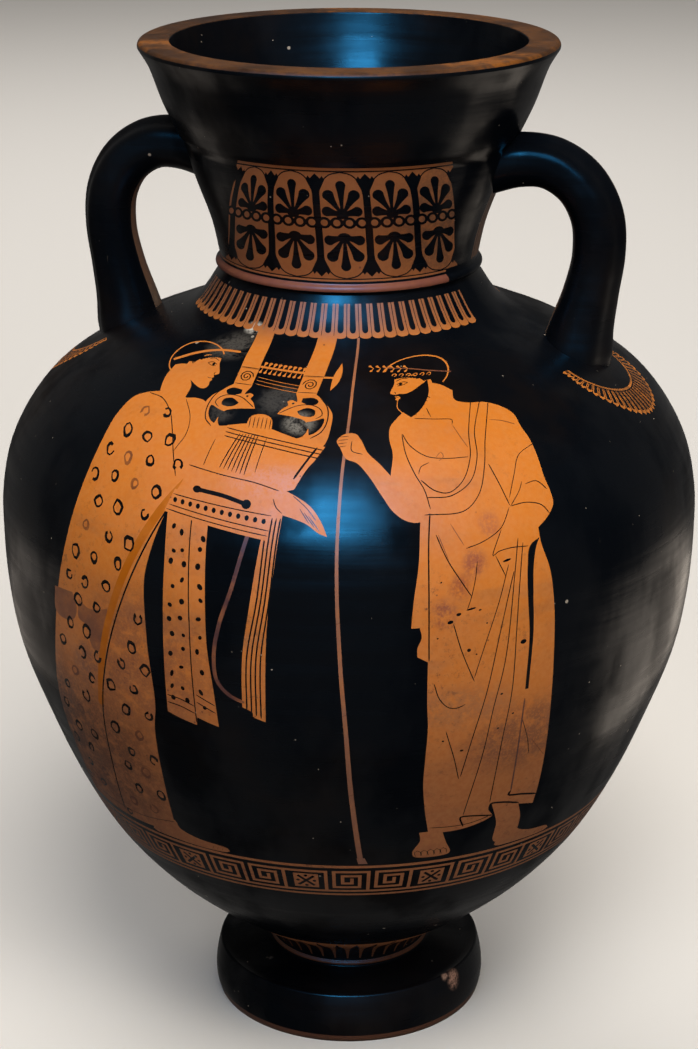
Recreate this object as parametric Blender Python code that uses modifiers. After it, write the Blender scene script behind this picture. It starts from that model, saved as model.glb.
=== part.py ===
"""Red-figure neck-amphora: one fired-clay vessel, thrown hollow, with two ridged roll handles.

Metres, +Z up.  The origin is on the ground under the axis.  The handles lie in the XZ plane, so the
painted sides face -Y and +Y.
"""

import bmesh
import bpy
import math
from mathutils import Vector

NAME = "amphora"
HEIGHT = 0.522
STEPS = 60                      # facets round the turned shapes

# Radii and heights that drive the profile, from the lip down to the foot.
LIP_RADIUS = 0.1040
LIP_EDGE = 0.0025               # rounding of the lip's outer edge
MOUTH_OPENING = 0.0880          # inner edge of the flat lip
MOUTH_SLOPE = 0.20              # how far the inside closes in for each unit of depth
MOUTH_DROP = 0.0110             # depth of that straight stretch
CUT_OVER = 0.006                # how far a cutter stands out of what it cuts
MOUTH_FOOT = (0.0846, 0.4760)   # where the flaring mouth steps in to the neck
NECK_TOP = (0.0820, 0.4732)
NECK_BASE = (0.0650, 0.4145)
RING_BULGE = 0.0022             # half-round ring between neck and shoulder
SHOULDER_START = (0.0652, 0.4085)
BELLY_RADIUS = 0.1794
BELLY_HEIGHT = 0.2760
STEM = (0.0425, 0.0330)         # the thin fillet between body and foot
FOOT_RADIUS = 0.0740
FOOT_TOP = (0.0700, 0.0271)
FOOT_EDGE = 0.0014
FOOT_TURN_IN = 0.0016           # the side tucks in by this much at the ground
RESTING_RING = 0.0110           # width of the flat ring that the vessel stands on
FOOT_HOLLOW = 0.0130            # depth of the hollow under the foot

# Walls: thicker at the mouth and the bottom, thinner at the belly.
WALL_MOUTH = 0.0100
WALL_BELLY = 0.0070
WALL_BOTTOM = 0.0105

# Handles: (distance from the axis, height) along the centre line, from the neck to the shoulder.
HANDLE_LINE = (
    (0.0660, 0.4600), (0.0870, 0.4652), (0.1025, 0.4642), (0.1165, 0.4552), (0.1248, 0.4400),
    (0.1263, 0.4220), (0.1230, 0.4020), (0.1180, 0.3800), (0.1130, 0.3480),
)
HANDLE_WIDTH = 0.0290           # across the strap, along Y
HANDLE_DEPTH = 0.0265           # in the handle's own plane
HANDLE_RIDGE = 0.0009           # height of the three ridges down the outer side
HANDLE_SIDES = 18
HANDLE_RINGS = 22
ROOT_SPREAD = 1.35              # how much the section grows at the lower root
ROOT_START = 0.64               # share of the handle's line where that growth starts
ROOT_END = 0.90                 # share where it meets the shoulder
NECK_SPREAD = 1.10

GLOSS_COLOUR = (0.010, 0.011, 0.013, 1.0)
GLOSS_ROUGHNESS = 0.28


def clear_scene():
    for obj in list(bpy.data.objects):
        bpy.data.objects.remove(obj, do_unlink=True)


def new_collection(name):
    collection = bpy.data.collections.new(name)
    bpy.context.scene.collection.children.link(collection)
    return collection


def gloss_material():
    material = bpy.data.materials.new("black_gloss_on_clay")
    material.use_nodes = True
    shader = material.node_tree.nodes["Principled BSDF"]
    shader.inputs["Base Color"].default_value = GLOSS_COLOUR
    shader.inputs["Roughness"].default_value = GLOSS_ROUGHNESS
    shader.inputs["Metallic"].default_value = 0.0
    return material


def smooth_curve(knots, pieces):
    """Points of a centripetal Catmull-Rom curve through the knots, with this many pieces between two."""
    knots = [Vector(knot) for knot in knots]
    ends = [knots[0] * 2 - knots[1]] + knots + [knots[-1] * 2 - knots[-2]]
    points = []
    for index in range(len(knots) - 1):
        p0, p1, p2, p3 = ends[index:index + 4]
        t1 = math.sqrt((p1 - p0).length)
        t2 = t1 + math.sqrt((p2 - p1).length)
        t3 = t2 + math.sqrt((p3 - p2).length)
        for step in range(pieces):
            t = t1 + (t2 - t1) * step / pieces
            a1 = p0.lerp(p1, t / t1)
            a2 = p1.lerp(p2, (t - t1) / (t2 - t1))
            a3 = p2.lerp(p3, (t - t2) / (t3 - t2))
            b1 = a1.lerp(a2, t / t2)
            b2 = a2.lerp(a3, (t - t1) / (t3 - t1))
            points.append(b1.lerp(b2, (t - t1) / (t2 - t1)))
    points.append(knots[-1])
    return points


def arc(centre, radius, start, end, pieces):
    """Points on an arc in the profile's plane, angles in degrees from the outward direction."""
    points = []
    for step in range(pieces + 1):
        angle = math.radians(start + (end - start) * step / pieces)
        points.append(Vector((centre[0] + radius * math.cos(angle), centre[1] + radius * math.sin(angle))))
    return points


def mouth_profile():
    """The rounded edge of the lip, then the flaring wall down to the step at the neck."""
    edge = arc((LIP_RADIUS - LIP_EDGE, HEIGHT - LIP_EDGE), LIP_EDGE, 90, -20, 3)
    wall = smooth_curve((edge[-1], (0.0992, 0.5110), (0.0921, 0.4920), MOUTH_FOOT), 1)
    return edge + wall[1:]


def neck_profile():
    """The concave neck, then the half-round ring at its base."""
    neck = smooth_curve((NECK_TOP, (0.0772, 0.4560), (0.0690, 0.4330), NECK_BASE), 2)
    ring = arc((NECK_BASE[0] + 0.0002, (NECK_BASE[1] + SHOULDER_START[1]) / 2),
               RING_BULGE, 60, -60, 2)
    return neck + ring


def body_profile():
    """Broad rounded shoulder, full belly, and the long taper to the stem."""
    knots = (
        SHOULDER_START, (0.0785, 0.3905), (0.1000, 0.3810), (0.1223, 0.3713), (0.1533, 0.3508),
        (0.1722, 0.3228), (BELLY_RADIUS - 0.0008, 0.2980), (BELLY_RADIUS, BELLY_HEIGHT),
        (0.1780, 0.2470), (0.1731, 0.2170), (0.1612, 0.1820), (0.1468, 0.1470), (0.1298, 0.1160),
        (0.1087, 0.0900), (0.0864, 0.0695), (0.0640, 0.0525), (0.0470, 0.0405), STEM,
    )
    return smooth_curve(knots, 1)


def foot_profile():
    """The fillet, the sloping top of the disc, its flaring side, and the resting ring."""
    fillet = arc((STEM[0], STEM[1] - 0.0024), 0.0013, 70, -70, 2)
    edge = arc((FOOT_TOP[0], FOOT_TOP[1] - FOOT_EDGE), FOOT_EDGE, 90, 20, 2)
    side = smooth_curve((edge[-1], (0.0729, 0.0195), (FOOT_RADIUS, 0.0115), (0.0737, 0.0050)), 1)
    top = [Vector((STEM[0], STEM[1] - 0.0048))]
    return fillet + top + edge + side[1:] + [Vector((FOOT_RADIUS - FOOT_TURN_IN, 0.0))]


def outer_profile():
    return mouth_profile() + neck_profile() + body_profile() + foot_profile()


def wall_at(height):
    """Wall thickness, thinnest at the belly."""
    if height > BELLY_HEIGHT:
        share = (height - BELLY_HEIGHT) / (HEIGHT - BELLY_HEIGHT)
        return WALL_BELLY + (WALL_MOUTH - WALL_BELLY) * share
    share = (BELLY_HEIGHT - height) / (BELLY_HEIGHT - STEM[1])
    return WALL_BELLY + (WALL_BOTTOM - WALL_BELLY) * share ** 2


def inner_profile():
    """The cavity's wall, top to bottom: the outside moved inwards by the wall, closed on the axis."""
    outside = smooth_curve((
        (0.0921, 0.4920), MOUTH_FOOT, (0.0772, 0.4560), (0.0690, 0.4330), (0.0650, 0.4130),
        (0.0740, 0.3950), (0.1223, 0.3713), (0.1533, 0.3508), (0.1722, 0.3228),
        (0.1786, 0.2980), (0.1780, 0.2470), (0.1612, 0.1820), (0.1298, 0.1160), (0.0864, 0.0695),
        (0.0500, 0.0460),
    ), 1)
    points = [Vector((MOUTH_OPENING - MOUTH_SLOPE * MOUTH_DROP, HEIGHT - MOUTH_DROP))]
    for index in range(1, len(outside) - 1):
        along = (outside[index + 1] - outside[index - 1]).normalized()
        inward = Vector((along.y, -along.x))
        points.append(outside[index] + inward * wall_at(outside[index].y))
    points.append(Vector((0.0420, 0.0512)))
    points.append(Vector((0.0000, 0.0475)))
    return points


def cavity_profile():
    """The cavity run on above the lip at the same slope, so that the cut is clean."""
    wide = MOUTH_OPENING + MOUTH_SLOPE * CUT_OVER
    top = [Vector((0.0, HEIGHT + CUT_OVER)), Vector((wide, HEIGHT + CUT_OVER))]
    return top + inner_profile()


def foot_hollow_profile():
    """The shallow hollow under the foot, reaching below the ground to cut cleanly."""
    rim = FOOT_RADIUS - FOOT_TURN_IN - RESTING_RING
    drop = FOOT_HOLLOW - 0.0010
    return [Vector((0.0, FOOT_HOLLOW)), Vector((rim - drop, drop)), Vector((rim + CUT_OVER, -CUT_OVER)),
            Vector((0.0, -CUT_OVER))]


def turned(name, profile, collection, material):
    """A solid of revolution: the profile runs down the outer side and starts and ends on the axis."""
    mesh = bpy.data.meshes.new(name)
    edges = [(i, i + 1) for i in range(len(profile) - 1)]
    mesh.from_pydata([(point.x, 0.0, point.y) for point in profile], edges, [])
    mesh.materials.append(material)
    obj = bpy.data.objects.new(name, mesh)
    collection.objects.link(obj)
    screw = obj.modifiers.new("Turned", "SCREW")
    screw.axis = "Z"
    screw.steps = STEPS
    screw.render_steps = STEPS
    screw.use_merge_vertices = True
    screw.merge_threshold = 0.0001
    screw.use_smooth_shade = True
    return obj


def handle_section(name, collection):
    """Closed outline of the handle: flatter towards the neck, three ridges down the outer side."""
    curve = bpy.data.curves.new(name, "CURVE")
    curve.dimensions = "2D"
    spline = curve.splines.new("POLY")
    spline.points.add(HANDLE_SIDES - 1)
    spline.use_cyclic_u = True
    for index in range(HANDLE_SIDES):
        angle = 2 * math.pi * index / HANDLE_SIDES
        outward = math.cos(angle)
        across = math.sin(angle)
        ridge = HANDLE_RIDGE * math.cos(6 * angle) * max(outward, 0.0)
        depth = HANDLE_DEPTH / 2 * outward * (1.0 if outward > 0 else 0.92)
        width = HANDLE_WIDTH / 2 * across
        scale = 1 + ridge / (HANDLE_DEPTH / 2)
        spline.points[index].co = (depth * scale, width * scale, 0.0, 1.0)
    outline = bpy.data.objects.new(name, curve)
    collection.objects.link(outline)
    outline.hide_render = True
    return outline


def section_growth(share):
    """Size of the section along the handle: it spreads where it is luted to the neck and shoulder."""
    at_neck = (NECK_SPREAD - 1) * max(0.0, 1 - share / 0.22) ** 1.5
    near_root = min(max((share - ROOT_START) / (ROOT_END - ROOT_START), 0.0), 1.0)
    at_root = (ROOT_SPREAD - 1) * near_root ** 2.2
    return 1 + at_neck + at_root


def handle_curve(name, side, outline, collection, material):
    """The roll swept along the handle's line, on the +X side for side 1 and the -X side for -1."""
    dense = smooth_curve(HANDLE_LINE, 12)
    curve = bpy.data.curves.new(name, "CURVE")
    curve.dimensions = "3D"
    curve.twist_mode = "MINIMUM"
    spline = curve.splines.new("POLY")
    spline.points.add(HANDLE_RINGS - 1)
    for index in range(HANDLE_RINGS):
        share = index / (HANDLE_RINGS - 1)
        place = dense[round(share * (len(dense) - 1))]
        spline.points[index].co = (side * place.x, 0.0, place.y, 1.0)
        spline.points[index].radius = section_growth(share)
    curve.bevel_mode = "OBJECT"
    curve.bevel_object = outline
    curve.use_fill_caps = True
    curve.materials.append(material)
    obj = bpy.data.objects.new(name, curve)
    collection.objects.link(obj)
    return obj


def solid_from_curve(curve_object, collection):
    """The swept curve as a closed mesh with outward faces, its end caps welded on."""
    graph = bpy.context.evaluated_depsgraph_get()
    mesh = bpy.data.meshes.new_from_object(curve_object.evaluated_get(graph))
    work = bmesh.new()
    work.from_mesh(mesh)
    bmesh.ops.remove_doubles(work, verts=work.verts, dist=0.00001)
    bmesh.ops.recalc_face_normals(work, faces=work.faces)
    work.to_mesh(mesh)
    work.free()
    solid = bpy.data.objects.new(curve_object.name + "_solid", mesh)
    solid.matrix_world = curve_object.matrix_world
    collection.objects.link(solid)
    bpy.data.objects.remove(curve_object, do_unlink=True)
    return solid


def as_helper(obj):
    obj.hide_render = True
    obj.display_type = "WIRE"
    return obj


def boolean(obj, other, operation):
    modifier = obj.modifiers.new(f"{operation.title()}_{other.name}", "BOOLEAN")
    modifier.operation = operation
    modifier.solver = "EXACT"
    modifier.object = other


def closed_outer_profile():
    """The outside, closed on the axis at the lip and at the ground."""
    return [Vector((0.0, HEIGHT))] + outer_profile() + [Vector((0.0, 0.0))]


def build():
    clear_scene()
    parts = new_collection("red_figure_amphora")
    helpers = new_collection("cutters")
    material = gloss_material()
    vessel = turned(NAME, closed_outer_profile(), parts, material)
    outline = handle_section("handle_section", helpers)
    bpy.context.view_layer.update()
    for name, side in (("handle_right", 1), ("handle_left", -1)):
        swept = handle_curve(name, side, outline, helpers, material)
        bpy.context.view_layer.update()
        boolean(vessel, as_helper(solid_from_curve(swept, helpers)), "UNION")
    cavity = as_helper(turned("cavity", cavity_profile(), helpers, material))
    hollow = as_helper(turned("foot_hollow", foot_hollow_profile(), helpers, material))
    boolean(vessel, cavity, "DIFFERENCE")
    boolean(vessel, hollow, "DIFFERENCE")
    vessel.data.shade_smooth()


build()
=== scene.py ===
"""Looks of the red-figure neck-amphora.

Everything is measured in millimetres on the vessel and turned into metres when a mesh is made.  The
wall is one closed section turned about +Z.  A place on it is (angle, run): the angle in degrees from
the front meridian (-Y) towards +X, and the run along the section, 0 at the underside of the fillet
and growing up the outside, over the lip and down the inside.
"""

import bisect
import math
import random

import bpy
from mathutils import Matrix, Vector
from mathutils.geometry import delaunay_2d_cdt

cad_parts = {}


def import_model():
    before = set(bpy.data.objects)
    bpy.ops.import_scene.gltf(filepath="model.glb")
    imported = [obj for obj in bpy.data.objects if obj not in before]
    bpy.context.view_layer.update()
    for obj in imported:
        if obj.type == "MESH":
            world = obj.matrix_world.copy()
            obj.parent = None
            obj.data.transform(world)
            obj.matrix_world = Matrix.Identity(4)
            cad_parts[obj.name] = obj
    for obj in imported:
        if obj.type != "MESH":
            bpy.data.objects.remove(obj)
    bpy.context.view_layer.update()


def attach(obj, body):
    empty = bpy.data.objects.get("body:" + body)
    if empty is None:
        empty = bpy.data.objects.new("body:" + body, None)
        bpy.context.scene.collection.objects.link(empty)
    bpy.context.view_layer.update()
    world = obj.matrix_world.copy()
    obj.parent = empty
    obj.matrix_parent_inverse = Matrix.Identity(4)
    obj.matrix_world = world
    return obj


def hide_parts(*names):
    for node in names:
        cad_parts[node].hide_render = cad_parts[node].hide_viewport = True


MM = 0.001

# ---------------------------------------------------------------- the section of the wall

HEIGHT = 522.0
HOLLOW = ((0.0, 13.0), (49.4, 12.0), (61.4, 0.0))
GROUND_EDGE = (72.4, 0.0)
FOOT_SIDE = ((73.7, 5.0), (74.0, 11.5), (72.9, 19.5), (71.32, 26.18))
FOOT_TOP_EDGE = (70.0, 25.7)
EDGE_RADIUS = 1.4
STEM_RADIUS = 42.5
FILLET_HEIGHT = (28.2, 33.0)
FILLET_BULGE = 1.3
BODY = (
    (42.5, 33.0), (47.0, 40.5), (64.0, 52.5), (86.4, 69.5), (108.7, 90.0), (129.8, 116.0),
    (146.8, 147.0), (161.2, 182.0), (173.1, 217.0), (178.0, 247.0), (179.4, 276.0), (178.6, 298.0),
    (172.2, 322.8), (153.3, 350.8), (122.3, 371.3), (100.0, 381.0), (78.5, 390.5), (65.2, 408.5),
)
RING_CENTRE = (65.2, 411.5)
RING_BULGE = 2.2
NECK = ((65.0, 414.5), (69.0, 433.0), (77.2, 456.0), (82.0, 473.2))
MOUTH = ((84.6, 476.0), (92.1, 492.0), (99.2, 511.0), (103.85, 518.64))
LIP_EDGE_RADIUS = 2.5
LIP_RADIUS = 104.0
LIP_INNER = 88.0
LIP_INNER_EDGE = 1.2
INSIDE = (
    (85.8, 511.0), (75.9, 479.6), (68.6, 459.1), (60.4, 435.4), (56.4, 411.9), (69.0, 388.2),
    (118.3, 364.2), (147.8, 345.1), (165.4, 319.5), (171.4, 297.4), (171.0, 248.0), (154.1, 184.6),
    (122.7, 120.7), (80.1, 76.7), (42.0, 51.2), (0.0, 47.5),
)


def smooth_curve(knots, step):
    """Points of a centripetal Catmull-Rom curve through the knots, about this far apart."""
    knots = [Vector(knot) for knot in knots]
    ends = [knots[0] * 2 - knots[1]] + knots + [knots[-1] * 2 - knots[-2]]
    points = []
    for index in range(len(knots) - 1):
        p0, p1, p2, p3 = ends[index:index + 4]
        t1 = math.sqrt((p1 - p0).length)
        t2 = t1 + math.sqrt((p2 - p1).length)
        t3 = t2 + math.sqrt((p3 - p2).length)
        pieces = max(1, round((p2 - p1).length / step))
        for part in range(pieces):
            t = t1 + (t2 - t1) * part / pieces
            a1 = p0.lerp(p1, t / t1)
            a2 = p1.lerp(p2, (t - t1) / (t2 - t1))
            a3 = p2.lerp(p3, (t - t2) / (t3 - t2))
            b1 = a1.lerp(a2, t / t2)
            b2 = a2.lerp(a3, (t - t1) / (t3 - t1))
            points.append(b1.lerp(b2, (t - t1) / (t2 - t1)))
    points.append(knots[-1])
    return points


def straight(points, step):
    """The polyline through the points, cut into pieces no longer than the step."""
    points = [Vector(point) for point in points]
    cut = []
    for start, end in zip(points, points[1:]):
        pieces = max(1, math.ceil((end - start).length / step))
        cut += [start.lerp(end, part / pieces) for part in range(pieces)]
    return cut + [points[-1]]


def arc(centre, radius, start, end, pieces):
    """Points on an arc, angles in degrees from the outward direction."""
    turns = [math.radians(start + (end - start) * part / pieces) for part in range(pieces + 1)]
    return [Vector((centre[0] + radius * math.cos(t), centre[1] + radius * math.sin(t))) for t in turns]


def section_stretches():
    """The named stretches of the wall's section, from the middle of the underside to the inside's."""
    fillet_middle = sum(FILLET_HEIGHT) / 2
    edge = (LIP_RADIUS - LIP_EDGE_RADIUS, HEIGHT - LIP_EDGE_RADIUS)
    inner_edge = (LIP_INNER + LIP_INNER_EDGE, HEIGHT - LIP_INNER_EDGE)
    return (
        ("hollow", straight(HOLLOW, 8)),
        ("resting", straight((HOLLOW[-1], GROUND_EDGE), 4)),
        ("foot_side", smooth_curve((GROUND_EDGE,) + FOOT_SIDE, 2)),
        ("foot_edge", arc(FOOT_TOP_EDGE, EDGE_RADIUS, 20, 90, 4)),
        ("foot_top", straight((FOOT_TOP_EDGE, (STEM_RADIUS, FILLET_HEIGHT[0])), 3)[1:]),
        ("fillet", arc((STEM_RADIUS, fillet_middle), FILLET_BULGE, -75, 75, 6)),
        ("body", smooth_curve(BODY, 5)),
        ("ring", arc(RING_CENTRE, RING_BULGE, -65, 65, 8)),
        ("neck", smooth_curve(NECK, 3)),
        ("mouth", smooth_curve(MOUTH, 3)),
        ("lip_edge", arc(edge, LIP_EDGE_RADIUS, -15, 90, 7)),
        ("lip", straight(((edge[0], HEIGHT), (inner_edge[0], HEIGHT)), 4)[1:]),
        ("lip_inner_edge", arc(inner_edge, LIP_INNER_EDGE, 100, 170, 4)),
        ("inside", smooth_curve(INSIDE, 9)),
    )


SAME_PLACE = 0.05   # stretches that meet closer than this share their end point


class Section:
    """The turned outline: for each run its radius, height and outward normal."""

    def __init__(self):
        self.points = []
        self.spans = {}
        starts = {}
        for name, stretch in section_stretches():
            starts[name] = len(self.points)
            self.points += [
                point for point in stretch
                if not self.points or (point - self.points[-1]).length > SAME_PLACE
            ]
        lengths = [0.0]
        for start, end in zip(self.points, self.points[1:]):
            lengths.append(lengths[-1] + (end - start).length)
        zero = lengths[starts["fillet"]]
        self.runs = [length - zero for length in lengths]
        order = list(starts)
        for name, after in zip(order, order[1:] + [None]):
            last = starts[after] if after else len(self.points) - 1
            self.spans[name] = (self.runs[starts[name]], self.runs[last])
        self.normals = [self._normal(index) for index in range(len(self.points))]

    def _normal(self, index):
        before = self.points[max(index - 1, 0)]
        after = self.points[min(index + 1, len(self.points) - 1)]
        along = (after - before).normalized()
        return Vector((along.y, -along.x))

    def at(self, run):
        """(radius, height, normal) at a run."""
        index = min(max(bisect.bisect_right(self.runs, run), 1), len(self.runs) - 1)
        share = (run - self.runs[index - 1]) / (self.runs[index] - self.runs[index - 1])
        share = min(max(share, 0.0), 1.0)
        point = self.points[index - 1].lerp(self.points[index], share)
        normal = self.normals[index - 1].lerp(self.normals[index], share).normalized()
        return point.x, point.y, normal


WALL = Section()


# ---------------------------------------------------------------- paint laid on the unrolled wall

LINE_STEP = 1.6
RELIEF_WIDTH = 0.50
THIN_END = 0.45     # share of a stroke's width that is left at its two ends


def curve_through(points, step=LINE_STEP):
    """A smooth curve through the points; it turns sharply only where a point is given twice."""
    stretches = [[points[0]]]
    for point in points[1:]:
        if point == stretches[-1][-1]:
            stretches.append([point])
        else:
            stretches[-1].append(point)
    curve = [Vector(points[0])]
    for stretch in stretches:
        if len(stretch) > 2:
            curve += smooth_curve(stretch, step)[1:]
        elif len(stretch) == 2:
            curve += straight(stretch, 2 * step)[1:]
    return curve


def rectangle(left, low, right, high):
    """The corners of an upright rectangle."""
    return [(left, low), (right, low), (right, high), (left, high)]


def bending(corners):
    """The outline's corners with points between them, so that its sides bend with the wall."""
    return straight([*corners, corners[0]], 4)[:-1]


class Picture:
    """Flat shapes on the wall in (angle, run); a later shape covers an earlier one."""

    def __init__(self):
        self.shapes = []

    def lay(self, paint, outline):
        self.shapes.append((paint, outline))

    def band(self, paint, low, high, first=-180.0, last=180.0):
        """Paint all round, or between two meridians, from one run to another."""
        pieces = max(1, round((last - first) / 2))
        angles = [first + (last - first) * part / pieces for part in range(pieces + 1)]
        self.lay(paint, [(angle, low) for angle in angles] + [(angle, high) for angle in reversed(angles)])


class Drawing:
    """Draws on a picture in millimetres: x along the wall from a meridian, y the run.

    With a radius, x is measured at that radius whatever the run, so that upright lines stay radial.
    """

    def __init__(self, picture, meridian, origin=(0.0, 0.0), radius=None):
        self.picture = picture
        self.meridian = meridian
        self.radius = radius
        self.origin = Vector(origin)
        self.turn = 0.0
        self.scale = 1.0
        self.flip = 1

    def within(self, origin, turn=0.0, scale=1.0, flip=1):
        """A drawing whose own axes are moved, turned, scaled or flipped on this one."""
        inner = Drawing(self.picture, self.meridian, self.moved(origin), radius=self.radius)
        inner.turn = self.turn + self.flip * math.radians(turn)
        inner.scale = self.scale * scale
        inner.flip = self.flip * flip
        return inner

    def moved(self, point):
        """The place of one of its own points on the unturned drawing."""
        x, y = point[0] * self.scale * self.flip, point[1] * self.scale
        cos, sin = math.cos(self.turn), math.sin(self.turn)
        return self.origin + Vector((x * cos - y * sin, x * sin + y * cos))

    def on_wall(self, point):
        """The (angle, run) of one of its own points."""
        x, y = self.moved(point)
        radius = self.radius or WALL.at(y)[0]
        return (self.meridian + math.degrees(x / radius), y)

    def polygon(self, paint, points):
        self.picture.lay(paint, [self.on_wall(point) for point in points])

    def fill(self, paint, points):
        """An area whose outline starts at a corner and is smooth but for the doubled points."""
        self.polygon(paint, curve_through([*points, points[0]])[:-1])

    def line(self, paint, points, width=RELIEF_WIDTH, thin_ends=True):
        """A stroke along a curve, drawn as a strip of small quads."""
        path = curve_through(points)
        half = width / 2 / self.scale
        sides = []
        for index, point in enumerate(path):
            along = (path[min(index + 1, len(path) - 1)] - path[max(index - 1, 0)]).normalized()
            end = min(index, len(path) - 1 - index)
            press = THIN_END if thin_ends and end == 0 else 1.0
            across = Vector((-along.y, along.x)) * half * press
            sides.append((point + across, point - across))
        for (a, b), (c, d) in zip(sides, sides[1:]):
            self.polygon(paint, (a, b, d, c))

    def strokes(self, rows):
        """Lines from a table: each row is a paint, a width and the points."""
        for paint, width, *points in rows:
            self.line(paint, points, width)

    def dot(self, paint, centre, width, height=None, turn=0.0, corners=14):
        """A filled ellipse."""
        self.polygon(paint, self.oval(centre, width, height or width, turn, corners))

    def ring(self, paint, centre, width, stroke, gap, corners):
        """A round loop of a stroke, left open by some of its corners."""
        outer = self.oval(centre, width, width, 0.0, corners)
        inner = self.oval(centre, width - 2 * stroke, width - 2 * stroke, 0.0, corners)
        for index in range(corners - gap):
            after = (index + 1) % corners
            self.polygon(paint, (inner[index], outer[index], outer[after], inner[after]))

    @staticmethod
    def oval(centre, width, height, turn, corners):
        """Points on an ellipse, tilted by a turn in degrees."""
        points = []
        tilt = math.radians(turn)
        for index in range(corners):
            angle = 2 * math.pi * index / corners
            x, y = width / 2 * math.cos(angle), height / 2 * math.sin(angle)
            points.append(Vector((
                centre[0] + x * math.cos(tilt) - y * math.sin(tilt),
                centre[1] + x * math.sin(tilt) + y * math.cos(tilt),
            )))
        return points


# ---------------------------------------------------------------- ornament

SIDES = (0.0, 180.0)
HANDLE_MERIDIANS = (-90.0, 90.0)
NECK_TURN = 3.0
NECK_LEAN = (0.00015, 0.00002)
UNIT_PITCH = 24.0
UNITS = 6
CRAMPED_UNIT = 5.0
PANEL_RUNS = (495.6, 553.1)
BAR_END = (
    (-4.6, 3.6), (-3.4, 1.6), (-2.4, 3.0), (0.0, 0.4), (2.4, 3.0), (3.4, 1.6), (4.6, 3.6), (1.9, 9.5),
    (-1.9, 9.5),
)
OVAL_QUARTER = ((0.0, 0.0), (5.2, 1.4), (9.0, 5.6), (10.6, 12.0))
RING_REACH = (-72.0, 61.0)
CHAIN_RUN = 525.9
TONGUE_RUNS = (463.0, 481.1)
TONGUES = 30
TONGUE_PITCH = 4.55
KEY_CELLS = 42
KEY_RADIUS = 138.0
KEY_FIRST = 1.9
KEY_LINE = 1.7
KEY_RUNS = (135.4, 151.8)
KEY_RIGHT = 2 * math.pi * KEY_RADIUS / KEY_CELLS - 1.5
SQUARE_SIDE = 11.4
CROSS_REACH = 4.0
RAYS = 40
RAY_RUNS = (5.2, 44.0)
GLOSS_DEPTH = 180.0   # how far down the inside the slip goes
COLLAR_CENTRE = 408.5
COLLAR_HALF = (27.5, 21.0)
COLLAR_SHIFT = 7.0
COLLAR_TONGUES = 34
COLLAR_SPAN = (-192, 12)


def petal(drawing, paint, base, tip, width, stem=0.20):
    """A drop: a narrow stem that swells to a round end."""
    base, tip = Vector(base), Vector(tip)
    along = tip - base
    across = Vector((-along.y, along.x)).normalized() * width / 2
    widest = 1 - width / 2 / along.length
    left, right = [], []
    for step in range(7):
        share = step / 6
        swell = stem + (1 - stem) * share ** 2.2
        left.append(base + along * widest * share + across * swell)
        right.append(base + along * widest * share - across * swell)
    for turn in (25, 50, 75):
        out, back = math.sin(math.radians(turn)), math.cos(math.radians(turn))
        spot = base + along * (widest + (1 - widest) * out)
        left.append(spot + across * back)
        right.append(spot - across * back)
    drawing.polygon(paint, left + right[::-1])


def palmette(drawing, hub, reach):
    """Five-petalled fan from a hub; reach +1 opens upwards and -1 downwards."""
    x, y = hub
    drawing.dot("gloss", hub, 6.4, 5.0)
    petal(drawing, "gloss", hub, (x, y + 18.2 * reach), 4.9, stem=0.30)
    for side in (-1, 1):
        petal(drawing, "gloss", hub, (x + side * 7.6, y + 13.0 * reach), 5.8, stem=0.28)
        petal(drawing, "gloss", hub, (x + side * 9.7, y + 2.4 * reach), 5.6, stem=0.45)


class NeckDrawing(Drawing):
    """The neck's ornament keeps its width as the neck flares, and leans inwards a little at both ends."""

    def on_wall(self, point):
        x, y = self.moved(point)
        lean = NECK_LEAN[0] if x < 0 else NECK_LEAN[1]
        x *= 1 - lean * abs(x) * (y - CHAIN_RUN)
        return (self.meridian + math.degrees(x / WALL.at(y)[0]), y)


def serrated_bar(drawing, x):
    """The black bar between two ovals, each end spread into three points."""
    low, high = PANEL_RUNS
    for end, inward in ((low, 1), (high, -1)):
        drawing.polygon("gloss", [(x + across, end + inward * (up + 0.4)) for across, up in BAR_END])
    drawing.polygon("gloss", rectangle(x - 1.8, low + 7, x + 1.8, high - 7))


def oval_frame(drawing, x):
    """Thin outline of a tall oval with straight sides."""
    low, high = PANEL_RUNS
    top = [(x + across, high - drop) for across, drop in OVAL_QUARTER]
    bottom = [(x + across, low + drop) for across, drop in reversed(OVAL_QUARTER)]
    for side in (1, -1):
        path = [(x + side * (px - x), py) for px, py in top + bottom]
        drawing.line("gloss", path, 0.65, thin_ends=False)


def neck_panel(picture, meridian):
    """Back-to-back palmettes in tall ovals, strung on a chain of small rings; the first one is cramped."""
    drawing = NeckDrawing(picture, meridian)
    low, high = PANEL_RUNS
    first = -UNIT_PITCH * (UNITS / 2 - 1) - CRAMPED_UNIT
    last = UNIT_PITCH * UNITS / 2
    for bottom, top in ((low, high), (high + 0.7, high + 2.6)):
        drawing.polygon("clay", bending(rectangle(first, bottom, last, top)))
    centres = [(index + 0.5) * UNIT_PITCH - last for index in range(1, UNITS)]
    for x in [first] + [centre - UNIT_PITCH / 2 for centre in centres] + [last]:
        serrated_bar(drawing, x)
    for x in centres:
        oval_frame(drawing, x)
        palmette(drawing, (x, 530.5), 1)
        palmette(drawing, (x, 517.8), -1)
    for reach in (-1, 1):
        petal(drawing, "gloss", (first + 2.2, CHAIN_RUN), (first + 3.4, CHAIN_RUN + 22 * reach), 1.8)
    beads = [first + 2.8]
    beads += [centre + UNIT_PITCH * (quarter - 1.5) / 4 for centre in centres for quarter in range(4)]
    for x in beads:
        drawing.dot("gloss", (x, CHAIN_RUN), 6.6, 6.6)
    for x in beads:
        drawing.dot("clay", (x, CHAIN_RUN), 3.5, 3.7)


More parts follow.
